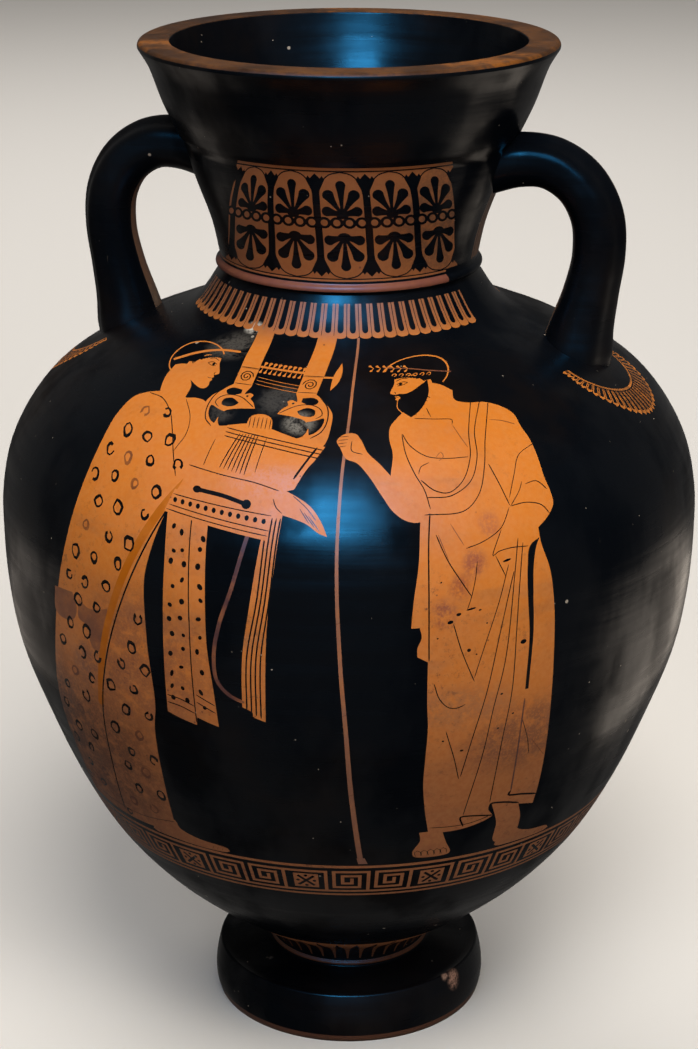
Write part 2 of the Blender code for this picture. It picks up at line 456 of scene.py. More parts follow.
def tongue(picture, angle, pitch, low, high):
    """One reserved loop with its black tongue; the loops' ends nearly join in one line."""
    half = pitch / 2
    drop = (high - low) * 0.09
    arch = [(math.cos(math.radians(t)), math.sin(math.radians(t))) for t in range(180, 361, 20)]
    loop = [(angle + 0.96 * half * c, low + drop + drop * s) for c, s in arch]
    picture.lay("clay", [(angle - 0.92 * half, high)] + loop + [(angle + 0.92 * half, high)])
    core = [(angle + 0.50 * half * c, low + 3.0 * drop + 1.2 * drop * s) for c, s in arch]
    picture.lay("gloss", [(angle - 0.44 * half, high)] + core + [(angle + 0.44 * half, high)])


def tongue_band(picture, meridian):
    """The row of tongues on the shoulder, under the neck."""
    for index in range(TONGUES):
        angle = meridian + (index - (TONGUES - 1) / 2) * TONGUE_PITCH
        tongue(picture, angle, TONGUE_PITCH, *TONGUE_RUNS)


def key_cell(drawing):
    """A square key wound from one running line, drawn to the right of the origin."""
    low, high = KEY_RUNS
    right = KEY_RIGHT
    path = (
        (0.0, low), (right, low), (right, high), (2.4, high), (2.4, 138.8), (right - 4.2, 138.8),
        (right - 4.2, 148.4), (6.6, 148.4), (6.6, 142.2), (right - 8.0, 142.2), (right - 8.0, 145.6),
    )
    for start, end in zip(path, path[1:]):
        square_stroke(drawing, start, end, KEY_LINE)


def square_stroke(drawing, start, end, width):
    """A straight bar between two points, run on by half its width at both ends."""
    start, end = Vector(start), Vector(end)
    along = (end - start).normalized() * width / 2
    across = Vector((-along.y, along.x))
    corners = (start - along - across, end + along - across, end + along + across, start - along + across)
    drawing.polygon("clay", bending(corners))


def saltire_cell(drawing):
    """A framed square with a black cross and four dots."""
    low, high = KEY_RUNS
    corner, top = (KEY_RIGHT, low), (KEY_RIGHT, high)
    for start, end in (((0.0, low), corner), ((0.0, high), top), (corner, top)):
        square_stroke(drawing, start, end, KEY_LINE)
    left, low = 3.2, 138.0
    drawing.polygon("clay", rectangle(left, low, left + SQUARE_SIDE + 0.8, low + SQUARE_SIDE))
    x, y = left + SQUARE_SIDE / 2 + 0.4, low + SQUARE_SIDE / 2
    for rise in (-CROSS_REACH, CROSS_REACH):
        arm = ((x - CROSS_REACH, y - rise), (x + CROSS_REACH, y + rise))
        drawing.line("gloss", arm, 1.5, thin_ends=False)
    for right, up in ((0, 1), (0, -1), (1, 0), (-1, 0)):
        drawing.dot("gloss", (x + 4.1 * right, y + 4.1 * up), 1.9, corners=8)


def meander(picture):
    """Two keys and a cross-square in turn, all round, between reserved lines."""
    picture.band("clay", 155.0, 157.0)
    picture.band("clay", 131.3, 132.9)
    pitch = 360.0 / KEY_CELLS
    for index in range(KEY_CELLS):
        drawing = Drawing(picture, KEY_FIRST + index * pitch, radius=KEY_RADIUS)
        if index % 3:
            key_cell(drawing)
        else:
            saltire_cell(drawing)


def rays(picture):
    """Black rays rising from the foot over a reserved zone."""
    low, high = RAY_RUNS
    picture.band("clay", low, high)
    pitch = 360.0 / RAYS
    for index in range(RAYS):
        angle = index * pitch
        outline = [(angle - 0.44 * pitch, low), (angle + 0.44 * pitch, low)]
        outline += [(angle + 0.24 * pitch, low + 0.5 * (high - low)), (angle, high - 3.0)]
        outline += [(angle - 0.24 * pitch, low + 0.5 * (high - low))]
        picture.lay("gloss", outline)


def collar(picture, meridian):
    """Short tongues fanned round the lower side of a handle's root, inside a pair of lines."""
    drawing = Drawing(picture, meridian)
    half_x, half_y = COLLAR_HALF
    forward = math.copysign(COLLAR_SHIFT, -meridian)
    first, last = [math.radians(angle) for angle in COLLAR_SPAN]
    step = (last - first) / COLLAR_TONGUES

    def tile(paint, angle, half, places):
        """A patch beside one angle: each place is a side (-1, 0 or 1) and how far out it lies."""
        spots = [(angle + side * half, out) for side, out in places]
        drawing.polygon(paint, [
            (forward + math.cos(turn) * (half_x + out), COLLAR_CENTRE + math.sin(turn) * (half_y + out))
            for turn, out in spots
        ])

    for index in range(COLLAR_TONGUES):
        angle = first + (index + 0.5) * step
        length = 6.0 + 12.0 * max(-math.sin(angle), 0.0)
        end, core = length - 1.5, length - 2.6
        tile("clay", angle, 0.50 * step, ((-1, 0), (-1, 1.3), (1, 1.3), (1, 0)))
        tile("clay", angle, 0.44 * step, ((1, 2.0), (-1, 2.0), (-1, end), (0, length), (1, end)))
        tile("gloss", angle, 0.28 * step, ((-1, 2.0), (-1, core), (1, core), (1, 2.0)))


def handle_strip(picture, meridian):
    """The plain strip left on the neck under a handle, with a dark line inside each edge."""
    low, high = PANEL_RUNS
    drawing = Drawing(picture, meridian)
    for half, paint in ((9.5, "strip"), (7.6, "gloss"), (6.8, "strip")):
        drawing.polygon(paint, bending(rectangle(-half, low, half, high)))


def bands(picture, low, rows):
    """Bands all round, one above another from a run upwards: each row is a paint and its upper run."""
    for paint, high in rows:
        picture.band(paint, low, high)
        low = high


def ground_paint(picture):
    """What every figure and ornament is laid on."""
    span = WALL.spans
    resting_end, ring_end, lip_start = span["resting"][1], span["ring"][1], span["lip_edge"][0] + 1.6
    bands(picture, span["hollow"][0] - 1, (
        ("underside", resting_end),
        ("clay", resting_end + 2.4),
        ("gloss", span["fillet"][0] + 1.2),
        ("clay", span["fillet"][1] - 1.0),
        ("gloss", span["ring"][0] + 1.0),
        ("gloss", lip_start),
    ))
    for side in SIDES:
        first, last = side + RING_REACH[0], side + RING_REACH[1]
        picture.band("ring", span["ring"][0] + 1.6, ring_end - 0.4, first, last)
        picture.band("gloss", ring_end - 0.4, ring_end + 0.9, first, last)
        picture.band("clay", ring_end + 0.9, PANEL_RUNS[0] - 0.6, first, last)
    bands(picture, lip_start, (
        ("lip", span["lip_inner_edge"][0] + 0.8),
        ("gloss", span["inside"][0] + GLOSS_DEPTH),
        ("underside", span["inside"][1] + 1),
    ))


def ornament(picture):
    """All the patterned zones: the same on both sides of the vessel."""
    rays(picture)
    meander(picture)
    for side in SIDES:
        tongue_band(picture, side)
        neck_panel(picture, side + NECK_TURN)
    for meridian in HANDLE_MERIDIANS:
        handle_strip(picture, meridian)
        collar(picture, meridian)


# ---------------------------------------------------------------- figures: heads, hands and feet

FIGURE_TURN = -0.5
GROUND_RUN = 158.2        # what the figures stand on


def calm_head(drawing, hair, reach=224, bearded=False):
    """A head in profile facing +x on its own 100-unit scale: chin at 0, eyes at half height, crown at 100.

    The hair stays black; hair is the middle, half width, half height and tilt of its reserved contour,
    which runs from the brow over the crown through reach degrees.
    """
    middle, half_x, half_y, tilt = hair
    cap = drawing.within(middle, turn=tilt)
    turns = [math.radians(angle) for angle in range(0, reach, 14)]
    cap.line("clay", [(half_x * math.cos(turn), half_y * math.sin(turn)) for turn in turns], 0.85)
    face = [
        (10, 74), (24, 77), (35, 73), (37, 65), (38.5, 57), (42, 49), (46.0, 40), (46.6, 36.5),
        (46.6, 36.5), (43.6, 33.2), (39.8, 31.6), (39.8, 31.6), (41.6, 26.6), (41.6, 26.6),
        (38.2, 24.0), (38.2, 24.0), (41.0, 20.5), (38.6, 16.5), (39.8, 9), (37, 2.5), (30, -0.5),
        (20, 2), (8, 8), (-4, 14), (-12, 20), (-18, 34), (-16, 46), (-12, 62), (-2, 70),
    ]
    drawing.fill("clay", face)
    fringe = (
        (34.5, 74), (26, 79), (10, 79), (-8, 72), (-20, 56), (-24, 42), (-24, 42), (-15, 44), (-8, 45),
        (-3, 50), (2, 58), (6, 66), (16, 70), (26, 71),
    )
    drawing.fill("gloss", fringe)
    for index in range(9):
        share = index / 8
        drawing.dot("gloss", (35 - 33 * share, 71 - 14 * share ** 2), 6.5, 6.0)
    features(drawing)
    if bearded:
        beard(drawing)


EYE_LINES = (
    ("line", 0.45, (17, 62), (26, 65.5), (35, 62.5)),
    ("line", 0.45, (18, 52.5), (26, 57), (35, 54)),
    ("line", 0.38, (18, 52.5), (26, 49.5), (34.5, 50.5)),
)
FACE_LINES = (
    ("line", 0.36, (40, 32.5), (38.6, 35), (40.5, 38.2)),
    ("line", 0.42, (38.2, 24), (34, 23.2), (31, 24.4)),
    ("line", 0.40, (-9, 50), (-13, 55), (-9, 60), (-3, 57), (-4, 50), (-9, 42), (-11, 46)),
    ("line", 0.34, (-8, 53), (-6, 55), (-7, 50)),
)


def features(drawing):
    """Brow, eye, nostril, mouth and ear."""
    drawing.strokes(EYE_LINES)
    drawing.dot("line", (29, 53), 5.2, 6.2)
    drawing.strokes(FACE_LINES)


def beard(drawing):
    """A full beard that hangs to a point, and a moustache, with a few strands at its edge."""
    outline = (
        (-12, 44), (0, 37), (12, 30), (24, 27), (33, 30.5), (40, 30.5), (42, 27), (36, 26), (33, 21),
        (36, 18), (39, 11), (38, 1), (33, -11), (23, -27), (23, -27), (14, -23), (5, -15), (-4, -2),
        (-10, 14),
    )
    drawing.fill("gloss", outline)
    drawing.line("clay", ((38.5, 14), (40, 2), (36, -9), (29, -20)), 0.4)
    drawing.fill("clay", ((33, 23.5), (38, 22.8), (40.2, 20.2), (36, 18.6)))
    for index in range(6):
        x, y = -8 + 5.0 * index, 6 - 5.4 * index
        drawing.line("gloss", ((x + 3, y + 2), (x - 3, y - 5)), 0.4)


def wreath(drawing):
    """A fillet that slopes down round the hair, small leaves over the brow and a row of curls below it."""
    drawing.line("purple", ((-52, 44), (-20, 64), (14, 86), (50, 104)), 0.7)
    for index in range(6):
        share = index / 5
        x, y = 14 + 50 * share, 86 + 22 * share
        for side in (-1, 1):
            petal(drawing, "clay", (x, y), (x + 6, y + 8.0 * side + 2), 4.4)
    for index in range(6):
        share = index / 5
        drawing.ring("clay", (-16 + 52 * share, 58 + 21 * share), 8.0, 1.6, gap=2, corners=9)


def open_ring(drawing, centre, size):
    """A dappled mark: a hand-drawn loop of uneven stroke, now and then left open, a few worn thin."""
    paint = "dilute" if random.random() < 0.15 else "line"
    gap = random.choice((0, 0, 0, 1, 2))
    corners = 10
    start, heavy = random.uniform(0, 360), random.uniform(0, 6.28)
    tall = random.uniform(1.0, 1.3)
    outer, inner = [], []
    for index in range(corners):
        angle = math.radians(start + 360 * index / corners)
        towards = Vector((math.cos(angle), tall * math.sin(angle)))
        reach = size / 2 * random.uniform(0.86, 1.08)
        stroke = 1.3 + 0.45 * math.cos(angle - heavy)
        outer.append(Vector(centre) + towards * reach)
        inner.append(Vector(centre) + towards * (reach - stroke))
    for index in range(corners - gap):
        after = (index + 1) % corners
        drawing.polygon(paint, (inner[index], outer[index], outer[after], inner[after]))


def inside(outline, point):
    """Whether a point lies in a closed outline."""
    x, y = point
    hit = False
    for (x0, y0), (x1, y1) in zip(outline, outline[1:] + outline[:1]):
        if (y0 > y) != (y1 > y) and x < (x1 - x0) * (y - y0) / (y1 - y0) + x0:
            hit = not hit
    return hit


def dapple(drawing, outline, spacing, size, keep_off):
    """Open rings scattered evenly over a garment, a little inside its outline and off the given points."""
    outline = [tuple(point) for point in curve_through(list(outline) + [outline[0]])[:-1]]
    xs, ys = [x for x, _ in outline], [y for _, y in outline]
    row, y = 0, min(ys) + 4
    while y < max(ys):
        x = min(xs) + (spacing / 2 if row % 2 else 0)
        while x < max(xs):
            spot = (x + random.uniform(-1.6, 1.6), y + random.uniform(-1.6, 1.6))
            clear = all((Vector(spot) - Vector(other)).length > 5.2 for other in keep_off)
            ring_edge = [(spot[0] + dx, spot[1] + dy) for dx, dy in ((-3.4, 0), (3.4, 0), (0, -4), (0, 4))]
            if clear and all(inside(outline, edge) for edge in ring_edge):
                open_ring(drawing, spot, random.uniform(*size))
            x += spacing
        y += spacing * 0.92
        row += 1


def side_foot(drawing, heel, toe):
    """A bare foot from the side, toes towards +x when the toe lies right of the heel."""
    away = 1 if toe > heel else -1
    length = abs(toe - heel)
    foot = drawing.within((heel, GROUND_RUN), flip=away)
    foot.fill("clay", (
        (0, 12), (0.5, 5), (-1.0, 1.5), (2, 0), (2, 0), (length - 2, 0), (length, 1.2), (length - 1, 3.2),
        (length * 0.6, 6.0), (length * 0.4, 10), (length * 0.36, 15), (0, 15), (0, 15),
    ))
    for index in range(3):
        x = length - 4.5 - 2.6 * index
        foot.line("line", ((x, 0.6), (x + 0.8, 2.6)), 0.36)
    foot.line("dilute", ((3.0, 9), (4.5, 11), (6.0, 9.5)))


def front_foot(drawing, centre):
    """A bare foot seen from the front, the toes in a row."""
    foot = drawing.within((centre, GROUND_RUN + 2.6))
    foot.fill("clay", (
        (-5, 19), (-5, 13), (-9.5, 5), (-9.5, 1.5), (-7, 0), (8, 0), (9.5, 2), (8, 9), (6.5, 19),
        (6.5, 19),
    ))
    for index in range(5):
        x = -7.0 + 3.3 * index
        foot.line("line", ((x - 1.3, 0.8), (x - 1.5, 4.2), (x, 5.4), (x + 1.4, 4.2), (x + 1.2, 0.8)), 0.36)


# ---------------------------------------------------------------- side A: the musician

ROBE = (
    (-66, 409), (-74, 406), (-82, 401), (-88, 390), (-92, 374), (-98, 352), (-106, 324), (-114, 296),
    (-120, 268), (-124.5, 242), (-126.5, 215), (-125, 190), (-121, 163), (-121, 163), (-104, 161),
    (-84, 160.5), (-66, 162), (-52, 166), (-52, 166), (-53, 196), (-52.5, 236), (-50.5, 252),
    (-53, 285), (-53.5, 316), (-50, 331), (-44, 349), (-44, 349), (-37, 360), (-34, 374), (-42, 384),
    (-50, 396), (-56, 408),
)
CHEST = (
    (-66, 424), (-66, 409), (-60, 395), (-52, 380), (-44, 350), (-44, 350), (-40, 358), (-28, 364),
    (-18, 368), (-18, 398), (-18, 398), (-27, 396), (-33, 401), (-38, 409), (-44, 410), (-50, 409),
    (-52, 413), (-51, 422), (-51, 422),
)
DOUBLE_CLOTH = (
    (-43, 350), (-42.5, 330), (-43.5, 290), (-43.5, 249), (-43.5, 249), (-36, 246.5), (-28, 244.5),
    (-28, 244.5), (-27.5, 249), (-27.5, 249), (-20, 246.5), (-16.5, 245.5), (-16.5, 245.5), (-18, 265),
    (-20.5, 288), (-21, 316), (-21.5, 347), (-21.5, 347),
)
PLEATED_CLOTH = (
    (5, 356), (13.5, 354), (13.5, 354), (12, 330), (9, 300), (7, 251.5), (7, 251.5), (1, 254), (1, 256),
    (-4, 258.5), (-4, 258.5), (-3, 285), (1, 312), (5, 343), (5, 343),
)
WORN_PATCHES = (
    ((-117, 296), (-102, 297), (-102, 297), (-99, 290), (-101, 284), (-107, 281), (-117, 283)),
    (
        (-97, 295), (-90, 292), (-77, 295), (-77, 295), (-76, 285), (-80, 276), (-86, 270), (-90, 274),
        (-91, 282), (-98, 285), (-98, 290),
    ),
)


def musician(drawing):
    """A long-robed singer facing right, playing a kithara."""
    drawing.fill("clay", ROBE)
    drawing.fill("clay", CHEST)
    side_foot(drawing, -68, -22)
    head = drawing.within((-53.3, 417.2), turn=-3, scale=0.335)
    calm_head(head, ((-8, 52), 52, 38, 30))
    head.line("clay", ((-50, 35), (-22, 58), (8, 77), (36, 88), (62, 92)), 1.6)
    drawing.fill("clay", (
        (-66, 427), (-68, 417), (-67, 409), (-67, 409), (-50, 409), (-50, 409), (-49.5, 417),
        (-55, 424), (-58, 430), (-58, 430), (-62, 429),
    ))
    robe_lines(drawing)
    cloths(drawing)


ROBE_LINES = (
    ("wash", 4.2, (-33, 368), (-47, 349), (-62, 323), (-74, 296), (-82, 270), (-87, 240)),
    ("line", 0.95, (-30, 373), (-44, 349), (-60, 318), (-73, 288), (-81, 263), (-86, 238), (-89, 196),
     (-90, 164)),
    ("line", 0.55, (-73, 406), (-63, 405), (-55, 398), (-50, 388), (-46, 377), (-42, 366)),
    ("line", 0.4, (-49, 408), (-43, 398), (-42, 388), (-46, 378)),
    ("line", 0.45, (-121, 169), (-100, 167), (-76, 167), (-52, 172)),
)


def robe_lines(drawing):
    """The worn patches, the robe's wash and seams, and its dappling."""
    for patch in WORN_PATCHES:
        drawing.fill("patch", patch)
    drawing.strokes(ROBE_LINES)
    seam = [(-44, 349), (-52, 334), (-60, 318), (-67, 303), (-73, 288), (-77, 275), (-81, 263), (-85, 245)]
    seam += [(-88, 180 + 12 * step) for step in range(6)]
    dapple(drawing, ROBE, 14.0, (5.2, 7.0), seam)


def cloths(drawing):
    """The spotted and the pleated cloth that hang from the instrument's sash."""
    drawing.fill("clay", DOUBLE_CLOTH)
    drawing.line("line", ((-30, 350), (-29.5, 320), (-29, 280), (-28, 246)), 0.6)
    for row in range(11):
        y = 256 + row * 8.6 + random.uniform(-1, 1)
        for x in (-39.0, -33.5, -24.5):
            wide, tall = random.uniform(1.6, 3.0), random.uniform(1.8, 3.8)
            drawing.dot("line", (x + random.uniform(-1.5, 1.5), y + random.uniform(-2.5, 2.5)), wide, tall,
                        turn=random.uniform(-40, 40), corners=8)
    for drop in (0, 4.0):
        drawing.line("line", ((-43.2, 258.5 - drop), (-36, 257.5 - drop), (-28.6, 255 - drop)), 0.6)
        drawing.line("line", ((-27.2, 261.5 - drop), (-22, 259 - drop), (-17.6, 257 - drop)), 0.6)
    drawing.fill("clay", PLEATED_CLOTH)
    for shift in (0, 0.8, 1.6, 2.4):
        start, end = 7 + 2.4 * shift, -1.8 + 2.8 * shift
        pleat = ((start, 352), (start - 2.4, 316), (end + 1, 285), (end, 257 - 1.5 * shift))
        drawing.line("line", pleat, 0.75)
    cord = ((-1, 346), (-8, 318), (-14, 300), (-17, 285), (-16, 271), (-10, 264), (-3, 261))
    drawing.line("purple", cord, 1.9)


# ---------------------------------------------------------------- side A: the kithara

SOUNDBOX = (
    (-22, 397), (-8, 400), (-2, 398), (12, 393), (27, 388.5), (27, 388.5), (25, 383), (21, 376),
    (17, 366), (17, 366), (2, 362), (-24, 362), (-24, 362),
)


def kithara(drawing):
    """A concert lyre: sound box, two arms with carved brackets, crossbar and strings."""
    kithara_arms(drawing)
    drawing.fill("clay", SOUNDBOX)
    drawing.fill("clay", ((-13, 396), (-12, 404), (-7, 406), (-2, 404), (0, 396), (0, 396)))
    for step in range(3):
        drop = 2.4 * step
        drawing.line("line", ((-22, 395.4 - drop), (2, 391.5 - drop), (27, 386.5 - drop)), 0.6)
    for index in range(7):
        top, low = -14.6 + 1.5 * index, -20.3 + 2.1 * index
        drawing.line("line", ((top, 393), (low, 373.5 - 0.4 * index)), 0.6)
    drawing.line("line", ((-1.2, 391.5), (-2.7, 373)), 0.45)
    drawing.line("line", ((-26, 388), (-29, 371.5)), 0.4)
    for lift in (0, 2.6, 5.0):
        drawing.line("clay", ((-16, 425.6 + lift), (-4, 423.4 + lift), (7.4, 421.5 + lift)), 0.34)
    for index in range(6):
        x = -12 + 2.0 * index
        drawing.line("line", ((x, 404), (x + 0.6, 397)), 0.4)
    drawing.line("line", ((23.5, 388), (19, 378), (15.8, 371)), 1.1)
    drawing.line("line", ((27, 387.5), (23, 378), (20, 370.5)), 0.6)


def kithara_arms(drawing):
    """Two uprights, each on a scrolled bracket, with the crossbar between them."""
    for x, reach, lift in ((-22, -1, 0.0), (10.5, 1, -2.0)):
        arm = drawing.within((x, lift), flip=-reach)
        arm.polygon("clay", ((-5.0, 436), (5.0, 436), (5.0, 464.5 - lift), (-4.2, 464.5 - lift)))
        arm.line("line", ((-5.0, 436.6), (5.0, 436.6)), 0.5)
        arm.polygon("clay", ((-4.8, 423), (4.8, 423), (4.9, 435.8), (-4.9, 435.8)))
        arm.line("line", ((-4.6, 424.2), (4.6, 424.2)), 0.5)
        spiral = [math.radians(36 * turn) for turn in range(22)]
        reaches = [1 - turn / 24 for turn in range(22)]
        curl = [(3.6 * r * math.cos(t), 430 + 4.4 * r * math.sin(t)) for t, r in zip(spiral, reaches)]
        arm.line("line", curl, 0.65)
        bracket(arm)
    drawing.polygon("clay", ((-17, 437.6), (6, 435.8), (6, 437.4), (-17, 439.2)))
    for index in range(9):
        x = -15.5 + 2.5 * index
        petal(drawing, "clay", (x, 438.4 - 0.08 * (x + 17)), (x + 0.9, 442.4 - 0.08 * (x + 17)), 1.9)
        petal(drawing, "clay", (x, 437.4 - 0.08 * (x + 17)), (x - 0.7, 433.8 - 0.08 * (x + 17)), 1.6)
    drawing.fill("clay", (
        (21, 424), (23.4, 431), (23.0, 440), (21.5, 445), (21.5, 445), (20.0, 436), (20.2, 430),
    ))
    drawing.polygon("clay", rectangle(15.5, 433.2, 20.4, 434.6))


BRACKET_HOLES = (
    ((1, 420.2), (-4, 420.8), (-7, 418.5), (-6, 416.2), (-2, 416.2), (1, 417.6), (1, 417.6)),
    ((1.5, 411.5), (-2.5, 414), (-6.8, 412.4), (-7, 409), (-3.4, 408.2), (0, 409.4)),
    ((-3.6, 404.6), (-8, 406), (-12, 407.6), (-12, 402), (-9.4, 398), (-7.4, 397), (-6.4, 400.5)),
)
BRACKET_LINES = (
    ("line", 0.6, (-6.6, 422), (-12, 414.6), (-13.9, 406), (-12.6, 399), (-8.4, 395)),
    ("line", 0.5, (9.6, 409.6), (6, 412.6), (2, 415.2), (-4, 416), (-9, 413.4), (-10.6, 409.6),
     (-8, 407.2)),
    ("line", 0.45, (8.6, 408.4), (2, 407.4), (-3.2, 404.4), (-5.6, 400)),
)


def bracket(arm):
    """The carved support under one arm, with its holes and curling tips; +x is towards the middle."""
    arm.fill("clay", (
        (-5, 423), (-9, 419), (-15, 411), (-16.4, 403), (-16, 392), (-13, 388), (-13, 388), (-4, 389),
        (3, 393.5), (3, 393.5), (-4.5, 396), (-6, 402), (-3, 406), (4, 408), (10.5, 409), (10.5, 409),
        (8.5, 413), (6.6, 415), (7.6, 417.4), (5.4, 418.6), (3, 417.4), (3.6, 420), (4.8, 423),
        (4.8, 423),
    ))
    for hole in BRACKET_HOLES:
        arm.fill("gloss", hole)
    arm.strokes(BRACKET_LINES)
    arm.dot("line", (4.6, 416.4), 1.3, 1.3, corners=8)


def playing_arm(drawing):
    """The singer's forearm and open hand below the sound box, and the sash that holds the instrument."""
    drawing.fill("clay", (
        (-44, 350), (-38, 364), (-34, 374), (-20, 371), (-4, 370), (8, 367), (17, 363.5), (26, 358),
        (32, 350.5), (35, 344.5), (35, 344.5), (31, 346), (25, 350), (18, 352.5), (12, 354), (4, 356),
        (-18, 358),
    ))
    drawing.line("line", ((-36, 372.5), (-18, 370), (-2, 368), (10, 365)), 0.5)
    drawing.line("line", ((8, 361), (10, 357), (13, 354.5)), 0.45)
    for index in range(3):
        knuckle = (21 + 2.2 * index, 357 - 1.6 * index)
        drawing.line("line", (knuckle, (26 + 2.6 * index, 350.5 - 1.7 * index)), 0.42)
    drawing.line("line", ((17, 363), (24, 357.5), (29, 352)), 0.4)
    drawing.fill("clay", ((-41, 360), (9, 357), (9, 357), (7, 341.5), (7, 341.5), (-45, 349), (-45, 349)))
    for low, high in (((-43, 352.5), (8, 346)), ((-44, 350.2), (7.6, 343.6)), ((-41.4, 357.6), (8.4, 353))):
        drawing.line("line", (low, high), 0.5)
    for index in range(12):
        x = -40 + 4.1 * index
        drawing.dot("line", (x, 355.0 - 0.105 * (x + 40)), 2.1, 2.6, corners=10)
    drawing.line("line", ((-29, 361.5), (-16, 360.2), (-5, 357.6)), 2.0, thin_ends=False)
    drawing.dot("line", (-29.5, 361.6), 4.4, 3.4)
    drawing.dot("line", (-4.2, 357.4), 4.6, 4.6)


STAFF_LINE = (
    (25, 463.5), (30, 433), (35, 400), (38.5, 362), (41, 322), (43, 280), (44.5, 245), (44, 205), (44, 159),
)


def staff(drawing):
    """The long knotted staff between the two figures, spreading a little towards the ground."""
    path = curve_through(STAFF_LINE, 3)
    half = [0.6 + 0.75 * (index / len(path)) ** 1.5 for index in range(len(path))]
    left = [(p.x - h, p.y) for p, h in zip(path, half)]
    right = [(p.x + h, p.y) for p, h in zip(path, half)]
    for index in range(len(path) - 1):
        drawing.polygon("staff", (left[index], right[index], right[index + 1], left[index + 1]))
    for index in range(5, len(path) - 4, 16):
        drawing.line("dilute", (left[index], (right[index][0], right[index][1] + 0.8)), 0.6)
    drawing.polygon("staff", ((42.2, 163), (46.2, 163), (47.2, 158.4), (42.6, 158.4)))


# ---------------------------------------------------------------- side A: the bearded man

CLOAK = (
    (60, 411), (57, 406), (54.5, 400), (55.5, 393), (59, 384), (60, 373), (60, 373), (68, 362),
    (77, 350), (77, 350), (78, 332), (76.5, 314), (75.5, 301), (75.5, 301), (79.5, 301), (79.5, 301),
    (80.5, 296), (78.5, 291), (78.5, 286.5), (78.5, 286.5), (83.5, 283.5), (83.5, 283.5), (83, 262),
    (83, 248), (81, 230), (79, 214), (78.5, 196), (79, 179), (79, 179), (90, 178), (100, 179),
    (110, 182), (113.5, 184), (113.5, 184), (111, 189), (112, 193), (112, 193), (129, 187.5),
    (129, 187.5), (137, 185), (137, 185), (140.5, 198), (144, 218), (147, 245), (148.5, 275),
    (148, 302), (145, 320), (139, 334), (137, 341), (137, 341), (142, 345), (145, 350), (143, 356),
    (139, 363), (134, 374), (129, 383), (123, 391), (118, 399), (110, 405), (100, 409.5), (90, 411),
    (83, 414), (81, 420), (81, 420), (74, 425), (67, 428), (67, 428), (64, 421),
)
NEAR_ARM = (
    (34, 388), (31.5, 392), (34, 396), (39, 396.5), (43, 392), (47, 385.5), (54, 379), (62, 371),
    (72, 362), (79, 356), (79, 356), (77, 350.5), (71, 351), (64, 355.5), (57, 364), (50, 373),
    (43, 380), (38, 382),
)


def bearded_man(drawing):
    """An older man in a cloak, facing left and leaning on his staff."""
    front_foot(drawing, 79.5)
    side_foot(drawing, 114, 148)
    drawing.fill("clay", ((113, 193), (115, 178), (113, 163), (124, 163), (129, 176), (128, 190), (128, 190)))
    drawing.fill("clay", CLOAK)
    drawing.fill("clay", NEAR_ARM)
    head = drawing.within((67.2, 415.5), turn=19, scale=0.31, flip=-1)
    calm_head(head, ((4.3, 64.9), 55, 46, 31), reach=198, bearded=True)
    wreath(head)
    drawing.fill("gloss", (
        (138, 336.5), (133, 333.5), (132.2, 325), (133, 310), (134.4, 290), (132.6, 262), (132.6, 262),
        (134.4, 262), (134.4, 262), (136.6, 292), (136, 310), (135.6, 325), (136.6, 333),
    ))
    body_lines(drawing)
    cloak_lines(drawing)


# The bare chest, shoulder and forearm.
BODY_LINES = (
    ("line", 0.42, (65, 404.5), (75, 403), (84, 401.5), (84.6, 398.5)),
    ("line", 0.40, (69.5, 410.5), (73, 404.5)),
    ("dilute", 0.42, (85, 398), (90, 391), (95, 384.5)),
    ("line", 0.42, (61, 395.5), (66, 388.5), (75, 382), (84, 380), (96, 379.5)),
    ("dilute", 0.40, (80, 381), (81.6, 383.5), (83.5, 381), (81.6, 379)),
    ("line", 0.45, (61, 395), (65, 384), (71, 373.5), (77, 365), (81, 356)),
    ("line", 0.42, (77, 378.5), (73.4, 376.5), (73, 373)),
    ("line", 0.42, (38.5, 392), (39.6, 386.5), (45, 384.5)),
)


def body_lines(drawing):
    """The chest and arm in fine lines, and the fingers of the near hand."""
    drawing.strokes(BODY_LINES)
    for index in range(4):
        drawing.line("line", ((32.2, 388.4 + 2.0 * index), (36.5, 389.2 + 1.9 * index)), 0.40)


# Small black spots on the cloak: middle, width and height.
SPALLS = (
    ((121, 328.6), 4.4, 1.2), ((104, 308), 5.0, 1.0), ((98, 306), 2.6, 1.6), ((94, 302.5), 3.0, 1.8),
    ((103.2, 287.5), 2.0, 1.8), ((131.2, 287.5), 3.4, 2.4), ((107, 285), 1.0, 0.8), ((108.4, 307), 1.6, 0.8),
    ((89, 322), 1.0, 0.8), ((120, 262), 1.6, 1.0), ((112, 300), 0.9, 0.9), ((126, 250), 1.4, 0.9),
    ((99, 233), 2.0, 1.2), ((90, 240), 1.2, 1.0), ((118, 243), 1.2, 0.9), ((88, 295), 1.0, 0.8),
)
